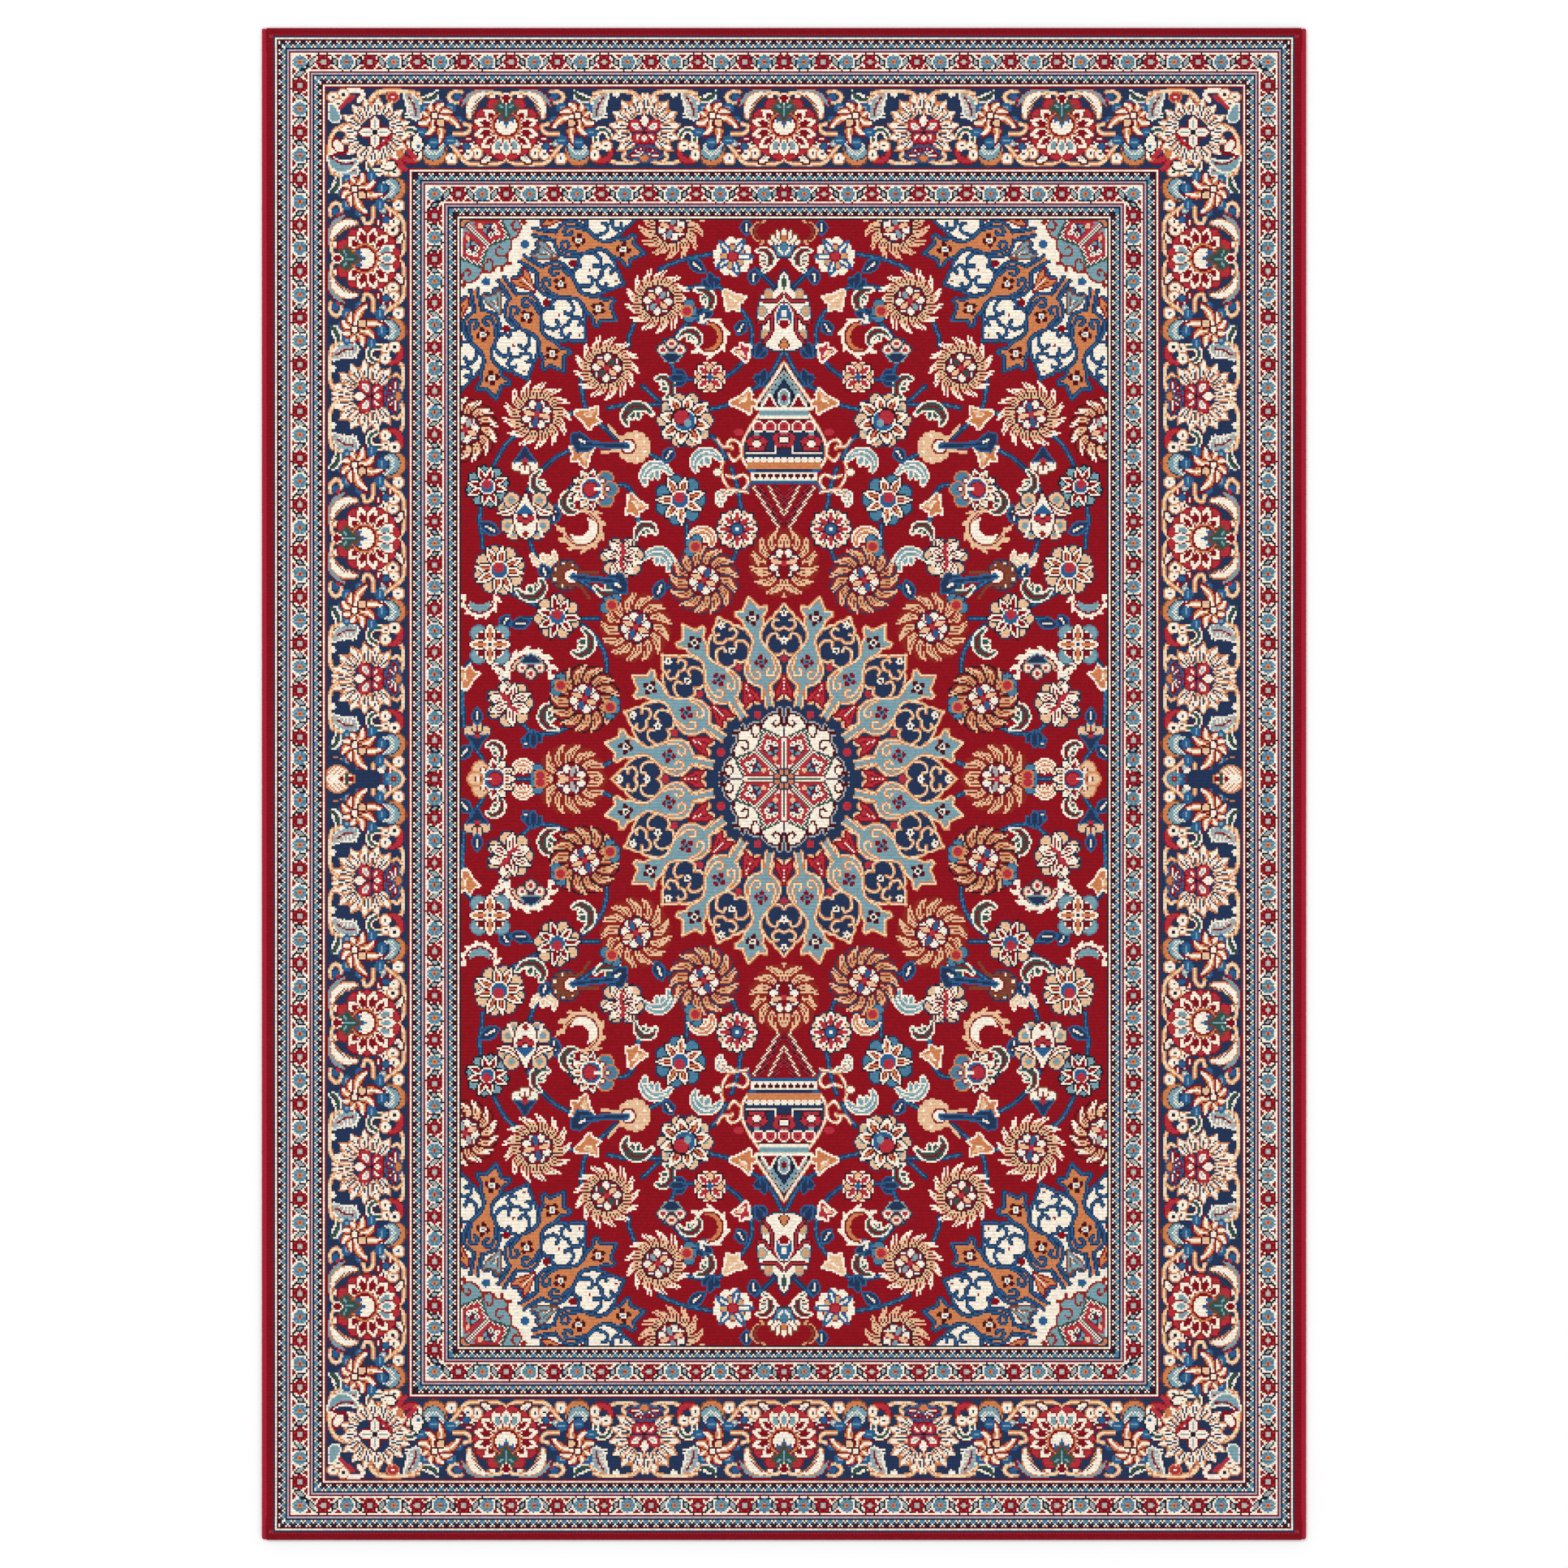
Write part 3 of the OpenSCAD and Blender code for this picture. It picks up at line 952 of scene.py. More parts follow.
def full_flower(pen):
    """A large flower in disarray, with a red fruit in its blue heart."""
    for a in range(0, 360, 36):
        pen.disc(*polar(12.4, a), 3.9, "sand", "navy", 0.8)
        pen.disc(*polar(12.6, a), 1.4, "grey")
    for i, a in enumerate((12, 58, 98, 142, 196, 238, 282, 326)):
        striped_petal(pen, 4, 15 + 2 * (i % 2), a, 6.6)
    pen.disc(0.6, 0, 7, "cream", "ink", 0.7)
    pen.disc(0, -0.4, 6, "blue")
    pen.disc(2.2, 2, 4.4, "rose", "maroon", 0.4)
    pen.disc(-1.8, -1.6, 2.2, "sky")


def white_flower(pen, radius):
    """A white flower of broad striped petals over sandy ones."""
    for i in range(7):
        pen.disc(*polar(radius * 0.76, 51 * i + 25), radius * 0.27, "sand", "navy", 0.8)
    for i, a in enumerate((20, 72, 105, 152, 200, 262, 335)):
        striped_petal(pen, 1, radius * (1.05 if i % 2 else 0.96), a, radius * 0.42, "cream")
    pen.curve([(-4, -5), (0, -1), (1.4, 3), (5, 6)], 2.4, "rose")
    pen.dots(smooth([(-4, -6), (1, -3), (5, 3)]), 1.6, "cream")


def cross_flower(pen):
    """Four striped petals in a cross, with a fan between each two."""
    for i in range(4):
        a = 45 + 90 * i
        pen.disc(*polar(9.4, a), 4.4, "sky", "steel", 0.6)
        pen.disc(*polar(6.4, a), 2.8, "wine", "cream", 0.5)
    for i in range(4):
        striped_petal(pen, 0.5, 12.6, 90 * i, 6.4, "orange", "wine", "maroon")
    pen.disc(0, 0, 1.5, "navy", "cream", 0.5)


def spiked_rosette(pen):
    """A scalloped white rosette with five blue spikes on it."""
    pen.ring(10, 8.6, 10, 3.3, "cream")
    pen.disc(0, 0, 8.4, "cream")
    for a in (0, 85, 150, 215, 290):
        pen.disc(*polar(5.2, a), 2, "gold", "wine", 0.6)
    for a in (180, 125, 50, -35, -105):
        pen.petal(polar(1.5, a), polar(13.4, a), 5, 0.42, "blue")
        pen.line([polar(3.6, a), polar(9, a)], 1.4, "cream")
    pen.disc(0, 0, 2.7, "rose", "wine", 0.7)


def wheel_flower(pen):
    """A flower like a wheel, its eight rose petals parted by sandy ones."""
    pen.ring(8, 9.2, 22.5, 2.7, "sand", "navy", 0.7)
    for i in range(8):
        striped_petal(pen, 2, 12.8, 45 * i, 5.8, "rose", "rose")
    pen.disc(0, 0, 3, "blue", "navy", 0.5)
    pen.disc(0, 0, 1.1, "cream")


def crossed_rosette(pen):
    """An eight-sided flower, crossed corner to corner by rose petals."""
    rim = polar(9, 45 * np.arange(9) + 22.5)
    pen.fill(rim[:-1], "gold", "maroon", 0.8)
    pen.line(rim, 1.5, "cream")
    for i in range(4):
        pen.petal(polar(1.6, 90 * i), polar(8.2, 90 * i), 4.6, 0.6, "sand", "brick", 0.7)
        striped_petal(pen, 1, 10.4, 90 * i + 45, 5.4, "rose", "rose", "maroon")
    pen.disc(0, 0, 1.7, "blue", "cream", 0.5)


def crowned_palmette(pen, crown="steel"):
    """A palmette that stands along +Y: a three-lobed crown over a ringed heart and striped petals."""
    for a in (5, 175, 38, 142, -28, -152, -60, -120, -90):
        striped_petal(pen, 3, 12.6, a, 5, "rose" if a % 2 else "sand")
    for x, y in ((-6.4, 8.4), (6.4, 8.4), (0, 11.4)):
        pen.disc(x, y, 3.9, crown, "orange", 0.8)
        pen.disc(0.8 * x, y - 2, 1.3, "cream", "wine", 0.5)
    pen.disc(0, 0, 6, "blue", "cream", 0.8)
    pen.disc(0, -0.6, 3.8, "rose", "wine", 0.7)
    pen.line([(0, 2), (0, 5)], 1.5, "cream")


def grand_palmette(pen):
    """A broad palmette that stands along +Y, its side petals spread like wings."""
    for side in (-1, 1):
        for x, y, r in ((6.6, -11, 3.2), (10.2, -6, 4.2), (11.6, 4.2, 4.2), (8.2, 9.2, 4.4)):
            pen.disc(side * x, y, r, "sand", "navy", 0.8)
            pen.disc(side * x, y, r * 0.42, "sky", "gold", 0.5)
        wing = [(side * 3, 7.4), (side * 9.6, 2), (side * 16.4, 1.6)]
        pen.ribbon(wing, (1.6, 4, 0.8), "cream", "maroon", 0.7)
        pen.line(smooth(wing)[2:-3], 1.0, "wine")
        pen.curve([(side * 5.4, 1), (side * 7.4, -6), (side * 10, -12.6)], 1.8, "cream")
    body = smooth([(0, -14), (4.6, -11), (6.6, -4), (5.8, 2), (2.6, 8), (0, 14)])
    pen.fill(both_sides(body), "cream", "maroon", 0.8)
    pen.fill(both_sides([(0, 1.4), (6, 0.8), (0, 7)]), "blue", "cream", 0.5)
    for x, y in ((-3, -1.6), (3, -1.6), (0, -3.6)):
        pen.disc(x, y, 2, "rose", "maroon", 0.4)
    pen.disc(0, -11, (1.7, 2), "brick")


def axis_palmette(pen):
    """The tall palmette above the urn, half of it on each side of the long axis."""
    half = [(0, 256), (7, 257), (12, 260), (13.4, 266), (12, 271), (15.4, 276), (14.4, 284), (13, 289.6),
            (7, 291), (3.4, 294.4), (2.8, 300), (0, 304)]
    pen.fill(both_sides(half), "cream", "navy", 0.9)
    pen.fill(both_sides([(0, 292), (1.8, 297), (0, 302)]), "green", "cream", 0.7)
    for side in (-1, 1):
        mirror = np.array([side, 1])
        for x, y in ((12.6, 280), (11, 265.6), (9, 290)):
            pen.disc(side * x, y, (2.2, 2.8), "gold", "sky", 0.6)
        for path in ([(0, 285), (6, 279), (7.4, 268), (12, 260.6)], [(1, 290), (5, 286), (12.6, 286.4)],
                     [(8.6, 277), (12, 273), (15, 273.6)]):
            pen.cord(smooth(path) * mirror, 1.2, 1.6, "rose", "maroon")
    pen.fill(both_sides(smooth([(0, 270), (4, 273), (4.4, 278), (2, 283), (0, 284)])), "blue", "cream", 0.7)
    pen.disc(0, 272, (3.2, 2.6), "crimson", "cream", 0.7)
    pen.disc(0, 278.6, (1.6, 2.2), "cream")
    pen.fill(both_sides([(0, 257.4), (3, 259), (0, 264)]), "orange", "maroon", 0.6)


def curl_leaf(pen, radius, opening, teeth, body, inner, thick=0.34):
    """A feathered leaf bent nearly into a ring, open along +X, with its teeth outside."""
    arc = np.linspace(opening / 2, 360 - opening / 2, 9)
    for a in np.linspace(arc[0] + 14, arc[-1] - 10, teeth):
        tooth = [polar(radius, a), polar(radius * 1.2, a + 3), polar(radius * 1.42, a + 13)]
        pen.ribbon(tooth, (radius * 0.3, radius * 0.26, 0.5), body)
    pen.ribbon(polar(radius, arc), (1, radius * 0.5, 1), body)
    pen.ribbon(polar(radius * (0.97 - thick / 2), arc[1:-1]), (0.6, radius * thick, 0.6), inner)
    pen.curve(polar(radius * 0.96, arc[1:-1]), 1.1, "wine")


def feather(pen, body):
    """A drooping leaf with a toothed underside. Its stalk is at the middle and it arches along +X."""
    spine = [(0, 0), (5, 4.4), (12, 4.6), (16.5, -1), (15, -6.4)]
    for x, y in ((8, -2.6), (11.6, -3)):
        pen.petal((x + 1, 3), (x, y), 3, 0.5, body, "cream", 0.9)
    pen.ribbon(spine, (0.8, 4.6, 1.2), body, "cream", 1.0)
    pen.line(smooth(spine)[4:-4], 1.1, "wine" if body == "green" else "cream")


def leaf(pen, length=12, width=6):
    """A dark pointed leaf along +Y from its stalk, with a pale vein."""
    pen.petal((0, 0), (0.2, length), width, 0.5, "navy", "blue", 0.9)
    pen.line([(0, length * 0.3), (0, length * 0.8)], 1.1, "cream")


def crown_leaf(pen):
    """A three-pointed dark leaf along +Y."""
    for angle in (-40, 40, 0):
        pen.petal((0, -1), polar(9 - abs(angle) / 20, 90 + angle), 4, 0.6, "navy", "blue", 0.7)


def bell(pen, body="orange"):
    """A trumpet flower, its stalk at the middle and its three-pointed mouth along +Y."""
    outline = [(-1, 0), (1, 0), (3.4, 6), (7.6, 11.6), (4, 12.8), (1.4, 12), (-0.8, 15.6), (-3.2, 12),
               (-7.2, 11), (-3.6, 6)]
    pen.fill(outline, body, "cream", 1.1)
    pen.fill([(1, 4), (6.4, 11.4), (1.6, 10)], "sand")
    pen.line([(0, 5), (1.4, 10)], 1.0, "cream")


def pod(pen, body="sand", rim="sand"):
    """A ragged pod round the end of its branch, which runs along +X to a forked leaf."""
    for i in range(11):
        pen.disc(*polar(6.8, 40 + 28 * i), 2.2, body, rim, 0.8)
    pen.disc(0, 0, 6.6, body)
    for i in range(6):
        pen.disc(*polar(7, 54 + 50 * i), 0.8, "cream")
    pen.curve([(3, 5.4), (9, 6), (11.6, 9), (15, 13)], 1.8, body)
    pen.curve([(3, -5.4), (9, -2), (13, -2.4), (19, -3)], 1.8, body)
    pen.disc(3.4, 0.4, 3.8, "cream", "wine", 0.8)
    pen.fill([(24, 0), (27, 5), (32, 8.6), (36, 8), (36.4, 3), (33, -2.6), (27, -1.6)], "navy", "blue", 0.8)
    pen.cord([(4, 0.6), (30, 2)], 1.6, 2.4, "navy", "blue")
    pen.line([(29, 3), (32, 4.6)], 1.4, "cream")


def small_crown(pen):
    """A blue crown of three lobes with a red bead, at the edge of a sunburst."""
    for k in (-1, 0, 1):
        pen.disc(4 * k, 3 - 1.6 * abs(k), 2.9, "steel", "navy", 0.5)
    pen.disc(0, 0, 2.6, "rose", "orange", 0.9)


def eyed_bud(pen):
    """Three eyed petals on a dark calyx, along +Y."""
    for x, y in ((-5, 1.4), (5, 1.4), (0, 5)):
        pen.disc(x, y, 3.2, "gold", "navy", 0.8)
        pen.disc(x, y, 1.4, "rose", "cream", 0.9)
    pen.fill([(-6, -2), (0, -1), (6, -2), (3.4, -5), (0, -6.4), (-3.4, -5)], "navy", "sky", 0.7)


def fan_bud(pen):
    """A fan of narrow cream petals in a blue calyx, on two curling stems."""
    for side in (-1, 1):
        pen.curve([(side * 14, -5), (side * 9, -7), (side * 4, -3), (side * 0.4, 3)], 1.3, "cream")
    for angle in (18, 42, 66, 90, 114, 138, 162):
        pen.petal((0, 5), np.array([0, 6]) + polar(10.6, angle), 3.8, 0.66, "cream", "brown", 0.5)
    calyx = [(-6.4, 6.4), (-2.4, 5.6), (0, 8.4), (2.4, 5.6), (6.4, 6.4), (3.4, -0.4), (-3.4, -0.4)]
    pen.fill(calyx, "steel", "navy", 0.6)
    for side in (-1, 1):
        pen.line([(side * 1.2, 1.2), (side * 3.2, 4.6)], 1.3, "cream")
    pen.disc(0, 10.4, (1.7, 2.4), "orange")


def trefoil(pen, body="cream", edge="brown"):
    """Three round petals along +Y from a forked calyx."""
    for x, y in ((-4.6, 3.4), (4.6, 3.4), (0, 6)):
        pen.disc(x, y, 3, body, edge, 0.7)
    pen.line([(0, 2), (0, 6)], 1.1, "wine")
    pen.fill([(-6, 1.4), (0, -1), (6, 1.4), (1.6, -5), (0, -8), (-1.6, -5)], "navy", "blue", 0.7)
    pen.disc(0, 0.4, 1.4, "rose")


# ---------------------------------------------------------------- the urn on the long axis
def urn_stand(pen):
    """Dotted lines that meet below the urn."""
    for x0, x1, y1, edge, dot in ((18, 3, 150, "brown", "cream"), (14.5, 1.5, 152, "ink", "rose"),
                                  (9, 0, 158, "brown", "cream"), (5, 0, 165, "ink", "rose")):
        path = [(x0, 175), (x1, y1)]
        pen.line(path, 2.2, edge)
        pen.dots(path, 1.8, dot, 2)


def urn_scrolls(pen):
    """The scrollwork at the urn's side."""
    for path in ([(25, 196), (26.4, 201), (31, 203), (33.4, 199.6), (30, 197.6)],
                 [(31, 199), (36, 199), (39, 203)], [(25.6, 193.4), (29.6, 190.4), (32.6, 194.4)],
                 [(35.6, 190), (37, 185), (35, 178), (30, 172.4), (24.4, 173), (21, 178), (23.6, 182),
                  (29, 180.4), (34, 181.6)],
                 [(21, 171.4), (26, 172.4), (32, 173), (38, 168.6)]):
        pen.cord(smooth(path), 1.1, 0.9, "cream", "orange")
    pen.disc(39, 183.4, 2.2, "cream", "brown", 0.6)
    pen.disc(26.6, 207.6, (3, 2.2), "rose")


def urn_body(pen):
    """The round body, with a flower and a half on it."""
    side = smooth([(19, 184), (23.4, 189.6), (25, 196), (23.6, 203), (20.6, 209), (17.6, 214),
                   (13.4, 219.4)])
    body = np.vstack([[(-1, 184)], side, [(-1, 219.4)]])
    pen.fill(body, "navy")
    pen.cord(side, 1.2, 0.9, "cream", "orange")
    for x, y, r in ((16, 200.6, 6), (1, 203, 5.4)):
        flower = pen.at(x, y)
        flower.ring(5, r * 0.62, 90, r * 0.42, "rose", "maroon", 0.5)
        flower.disc(0, 0, r * 0.36, "cream", "ink", 0.5)
        flower.disc(0, r * 0.95, (1.6, 1.2), "sky")
    pen.cord([(5, 195.4), (22, 195.4)], 1.1, 0.9, "cream", "ink")
    pen.line([(5.4, 195.4), (5.4, 199)], 1.1, "cream")


def urn_foot(pen):
    """The scallops, the dotted band and the line round the foot."""
    pen.fill([(-1, 185.6), (21, 185.6), (21, 190), (-1, 190)], "orange", "brown", 0.6)
    for x in range(0, 22, 4):
        pen.disc(x, 190.6, (2.1, 1.6), "cream")
    pen.line([(-1, 184.6), (21, 184.6)], 1.6, "navy")
    pen.fill([(-1, 178.6), (19, 178.6), (19, 183.6), (-1, 183.6)], "cream", "navy", 0.8)
    for x in range(0, 18, 4):
        pen.disc(x, 181.2, 1.3, "maroon")
    pen.curve([(-1, 177.4), (17, 177.4), (20.4, 175.4), (21, 172.6)], 1.5, "blue")
    pen.line([(17, 184.6), (20.6, 184.6)], 1.4, "blue")


def urn_neck(pen):
    """The neck, with a row of blossoms and its rings."""
    pen.fill([(-1, 208), (18.6, 208), (15.4, 214), (-1, 214)], "wine", "ink", 0.5)
    for x in (0, 8, 15):
        pen.disc(x, 210.6, (2.9, 2.6), "rose", "cream", 0.8)
        pen.disc(x, 211, 0.9, "ink")
    for y, yarn in ((215, "maroon"), (216.6, "cream"), (218.2, "sky"), (219.6, "sky"), (221, "cream")):
        pen.line([(-1, y), (13.6, y)], 1.5, yarn)


def urn_cover(pen):
    """The pointed cover."""
    roof = [(-1, 221.6), (16.6, 221.6), (16, 225), (10.4, 233.4), (5, 241), (0.6, 248.4), (-1, 250)]
    pen.fill(roof, "ink")
    pen.fill([(-1, 222), (6, 222), (4, 232), (-1, 240)], "navy")
    pen.line([(0, 244), (6, 236), (13.4, 224.4)], 1.4, "grey")
    pen.line([(0, 241), (4, 235.6), (8.4, 229)], 1.8, "sky")
    pen.fill([(4.6, 222.4), (12.6, 222.4), (8.4, 229)], "wine", "cream", 1.1)
    pen.disc(0, 228, (3, 4.6), "sky", "cream", 0.6)
    pen.disc(0, 228, (1.2, 2.2), "wine")
    pen.cord(roof, 1.4, 0.9, "cream", "orange")
    pen.line([(5, 221.6), (15.4, 221.6)], 1.3, "cream")


def lay_urn(pen):
    """A covered urn on a striped stand, half of it on each side of the long axis."""
    for part in (urn_stand, urn_scrolls, urn_body, urn_foot, urn_neck, urn_cover):
        part(pen)


# ---------------------------------------------------------------- the field
# Each vine's points, in knots from the rug's middle
FIELD_VINES = [
    [(5, 294), (10, 299), (16, 305)], [(43, 314), (54, 312), (64, 309), (73, 305)],
    [(33, 290), (38, 294), (46, 295.5), (59, 293)], [(27, 283), (21, 275), (18.6, 266), (20, 259)],
    [(22, 253), (27, 246), (35, 240)], [(1, 255), (5, 247), (11, 238), (20, 232)],
    [(66, 250), (64.6, 244), (60, 240), (54, 239)], [(73, 226), (83, 235)],
    [(73, 224), (90, 224.4), (103, 222)], [(63, 266), (56, 273), (48, 278)],
    [(88, 272), (91, 264), (91, 259)], [(119, 239), (118, 228), (116, 221)],
    [(30, 225), (36, 223), (44, 221)], [(42, 205), (38, 200), (34, 192)],
    [(31, 186), (29, 181), (27, 173), (25, 161)], [(70, 190), (76, 193), (81, 196)],
    [(99, 204), (104, 209), (109, 213)], [(123, 219), (128, 218)],
    [(122, 198), (133, 193), (141, 186), (148, 178), (150, 172)], [(157, 206), (164, 199), (170, 188)],
    [(88, 170), (92, 175), (97, 176)], [(123, 176), (128, 171), (132, 164), (133, 157)],
    [(178, 162), (178.6, 154), (177, 144), (176.6, 138)], [(85.6, 158), (85.4, 150), (87, 143)],
    [(57, 152), (57, 143)], [(27, 138), (30, 131)], [(62, 118), (68, 115), (76, 107)],
    [(104, 107), (110, 112), (120, 119)], [(109, 96), (118, 96)], [(148, 96), (154, 95.4), (163, 91)],
    [(118, 92), (110, 84), (105, 74), (104, 64)], [(146, 104), (152, 107), (159, 111)],
    [(136, 124), (143, 129), (147, 136), (149, 142)], [(163, 68), (164, 60)], [(182, 72), (186, 68)],
    [(125, 33), (133, 28), (146, 27), (155, 34)],
    [(188, 60), (188.6, 45), (187, 29), (181, 19), (176, 10)], [(145, 0), (158, 0)],
    [(102, 10), (106, 8)], [(70, 262), (63, 264)],
]
# The middle, the radius and the yarns of the strands, the lines between the tufts and the heart
SUNBURSTS = [
    (66, 330, 19, "sand", "sand", None, "sky"), (74, 286, 19, "sand", "cream", None, "sky"),
    (104, 246, 19, "sand", "cream", None, "green"), (145, 218, 20, "sand", "cream", None, "blue"),
    (187, 209, 19, "sand", "cream", "maroon", "grey"), (0, 129, 20, "sand", "sand", "brick", "wine"),
    (47, 119, 20, "gold", "sand", "navy", "blue"), (87, 91, 20.5, "sand", "sand", "brick", "blue"),
    (117, 48, 20, "gold", "sand", "ink", "blue"), (125, 0, 20.5, "sand", "sand", "brick", "grey"),
]
# The place, the turn, the size, whether it is flipped, and the yarn
FEATHERS = [
    (36.5, 190.5, 0, 1.0, False, "sky"), (66, 182.5, 0, 1.0, False, "sky"),
    (83, 131, 0, 1.0, True, "sky"), (111, 115, 180, 0.95, False, "green"),
    (157, 113.5, 180, 0.95, False, "green"), (118, 90, 90, 0.95, True, "green"),
    (70, 227, 90, 0.8, False, "green"), (77, 218, 0, 1.0, False, "green"),
    (52, 292.6, 45, 0.8, True, "green"), (12, 304, 95, 0.75, False, "green"),
    (62, 264, 0, 0.75, True, "green"), (143, 184.5, -90, 0.8, False, "green"),
    (124, 173, -80, 0.8, False, "green"), (133, 29.5, -120, 0.9, True, "green"),
    (87, 143.5, -40, 0.75, True, "green"), (166, 60, 80, 0.5, False, "green"),
    (56, 143, -10, 0.85, True, "orange"), (31, 171, -30, 0.55, False, "sky"),
    (147, 2.6, 30, 0.7, False, "orange"), (168, 10, 80, 0.7, False, "green"),
    (148, 134, 195, 0.8, False, "sand"),
]
# The place, the turn and the length
LEAVES = [
    (56, 311, 130, 12), (75, 108, 20, 11), (160, 92, 80, 11), (148, 27, -150, 9), (178, 153, 120, 12),
    (70, 190, 30, 9), (134, 163, -170, 10), (23, 274, -150, 9), (184, 20, -140, 10), (142, 128, 160, 8),
    (22, 326, 0, 8), (166, 90, 30, 9), (17, 305, 190, 9),
]
# The place and the turn
CROWN_LEAVES = [
    (42, 294, -10), (13, 236, 10), (50, 275, 60), (16, 253, 20), (147, 28, 180), (58, 240, -90),
]
SMALL_CROWNS = [
    (52, 139, -60), (101, 104, -40), (143, 2, -90), (131, 56, -70), (102, 43, 110), (57, 280, 90),
]


def lay_greenery(pen):
    """The vines of the field and the leaves on them."""
    for points in FIELD_VINES:
        pen.vine(points)
    for u, v, turn, size, flip, body in FEATHERS:
        feather(pen.at(u, v, turn, size, flip), body)
    for u, v, turn, length in LEAVES:
        leaf(pen.at(u, v, turn), length)
    for u, v, turn in CROWN_LEAVES:
        crown_leaf(pen.at(u, v, turn))
    curl_leaf(pen.at(45, 264.6, 5), 9.6, 100, 6, "cream", "orange")
    curl_leaf(pen.at(119, 150, 45), 10.6, 80, 9, "sand", "cream", 0.6)
    curl_leaf(pen.at(149.5, 62.5, -90), 12, 150, 8, "cream", "sand")
    curl_leaf(pen.at(178.6, 108, 90), 9, 150, 7, "cream", "sky", 0.6)
    curl_leaf(pen.at(12.5, 327.5, 180), 5.6, 150, 3, "gold", "brown")


def lay_field(pen):
    """The vines, leaves and flowers of the crimson field."""
    lay_greenery(pen)
    for u, v, radius, inner, outer, dark, eye in SUNBURSTS:
        sunburst(pen.at(u, v, 7 * (u % 5)), radius, inner, outer, dark, eye)
    for u, v, turn in SMALL_CROWNS:
        small_crown(pen.at(u, v, turn))
    spiked_rosette(pen.at(30, 312.5))
    wheel_flower(pen.at(27.5, 149.5))
    crossed_rosette(pen.at(43.5, 240.5))
    axis_palmette(pen)
    fan_bud(pen.at(0, 313))
    full_flower(pen.at(58, 214.6))
    star_flower(pen.at(61, 167), 15, 7, "steel", "navy")
    star_flower(pen.at(167, 125, 8), 15, 8)
    star_flower(pen.at(133, 97, 20), 13.5, 7, "sand", "navy", "wine")
    star_flower(pen.at(174, 175, 10), 12.6, 8, "sky", "ink", "wine")
    white_flower(pen.at(95, 132, 40), 12.4)
    white_flower(pen.at(161, 45), 13.5)
    cross_flower(pen.at(172.5, 80.5))
    crowned_palmette(pen.at(113, 173.4, 90))
    crowned_palmette(pen.at(170, 0, -90), "sand")
    grand_palmette(pen.at(151.6, 157.6))
    bell(pen.at(31, 225, 86, 0.95))
    bell(pen.at(122, 219, 108, 0.95))
    bell(pen.at(112, 200, -130))
    bell(pen.at(90, 170, 160, 0.85))
    bell(pen.at(35, 292, 140, 0.9), "sand")
    bell(pen.at(187, 54, 8, 0.9))
    bell(pen.at(22, 250, -20, 0.7), "rose")
    pod(pen.at(88, 198.5))
    pod(pen.at(128, 122, 184), "brown", "navy")
    eyed_bud(pen.at(66, 255.5))
    eyed_bud(pen.at(148.6, 68, 180))
    trefoil(pen.at(152, 191, 180))
    trefoil(pen.at(180, 25), "sand", "navy")
    leaf(pen.at(180, 33), 9, 5)


def weave_quarter():
    """The whole quarter, from the field outwards."""
    loom = Loom()
    pen = Brush(loom)
    lay_field(pen)
    lay_medallions(pen)
    lay_urn(pen)
    lay_borders(loom)
    lay_main_border(pen)
    lay_main_edges(loom)
    outer = len(OUTER_LINES) + GUARD_W + len(INNER_LINES) + BAND // 2
    inner = outer + len(OUTER_BORDER) + MAIN
    for depth in (outer, inner):
        lay_band(pen, HALF_U - SIDE_BAND - depth, HALF_V - END_BAND - depth)
    return loom


# ---------------------------------------------------------------- materials
def linear(colour):
    """An sRGB colour as Blender's linear one."""
    c = np.asarray(colour, float)
    return tuple(np.where(c <= 0.04045, c / 12.92, ((c + 0.055) / 1.055) ** 2.4)) + (1.0,)


def plain_material(name, colour, roughness, sheen=0.0):
    """A fabric of one colour."""
    material = bpy.data.materials.new(name)
    material.use_nodes = True
    shader = material.node_tree.nodes["Principled BSDF"]
    shader.inputs["Base Color"].default_value = linear(colour)
    shader.inputs["Roughness"].default_value = roughness
    shader.inputs["Specular IOR Level"].default_value = 0.12
    shader.inputs["Sheen Weight"].default_value = sheen
    return material


def place_texture(material, kind, scale, stretch=(1, 1, 1)):
    """A procedural texture that is fixed to the piece's own coordinates."""
    nodes, links = material.node_tree.nodes, material.node_tree.links
    place = nodes.new("ShaderNodeTexCoord")
    mapping = nodes.new("ShaderNodeMapping")
    mapping.inputs["Scale"].default_value = stretch
    texture = nodes.new(kind)
    texture.inputs["Scale"].default_value = scale
    links.new(place.outputs["Object"], mapping.inputs["Vector"])
    links.new(mapping.outputs["Vector"], texture.inputs["Vector"])
    return texture


def add_bump(material, texture, strength, depth):
    """Raises the surface where the texture is light, up to depth metres."""
    nodes, links = material.node_tree.nodes, material.node_tree.links
    bump = nodes.new("ShaderNodeBump")
    bump.inputs["Strength"].default_value = strength
    bump.inputs["Distance"].default_value = depth
    links.new(texture.outputs["Fac"], bump.inputs["Height"])
    links.new(bump.outputs["Normal"], nodes["Principled BSDF"].inputs["Normal"])


def vary_roughness(material, texture, low, high):
    """Makes the roughness run from low to high with the texture."""
    nodes, links = material.node_tree.nodes, material.node_tree.links
    span = nodes.new("ShaderNodeMapRange")
    span.inputs["To Min"].default_value = low
    span.inputs["To Max"].default_value = high
    links.new(texture.outputs["Fac"], span.inputs["Value"])
    links.new(span.outputs["Result"], nodes["Principled BSDF"].inputs["Roughness"])


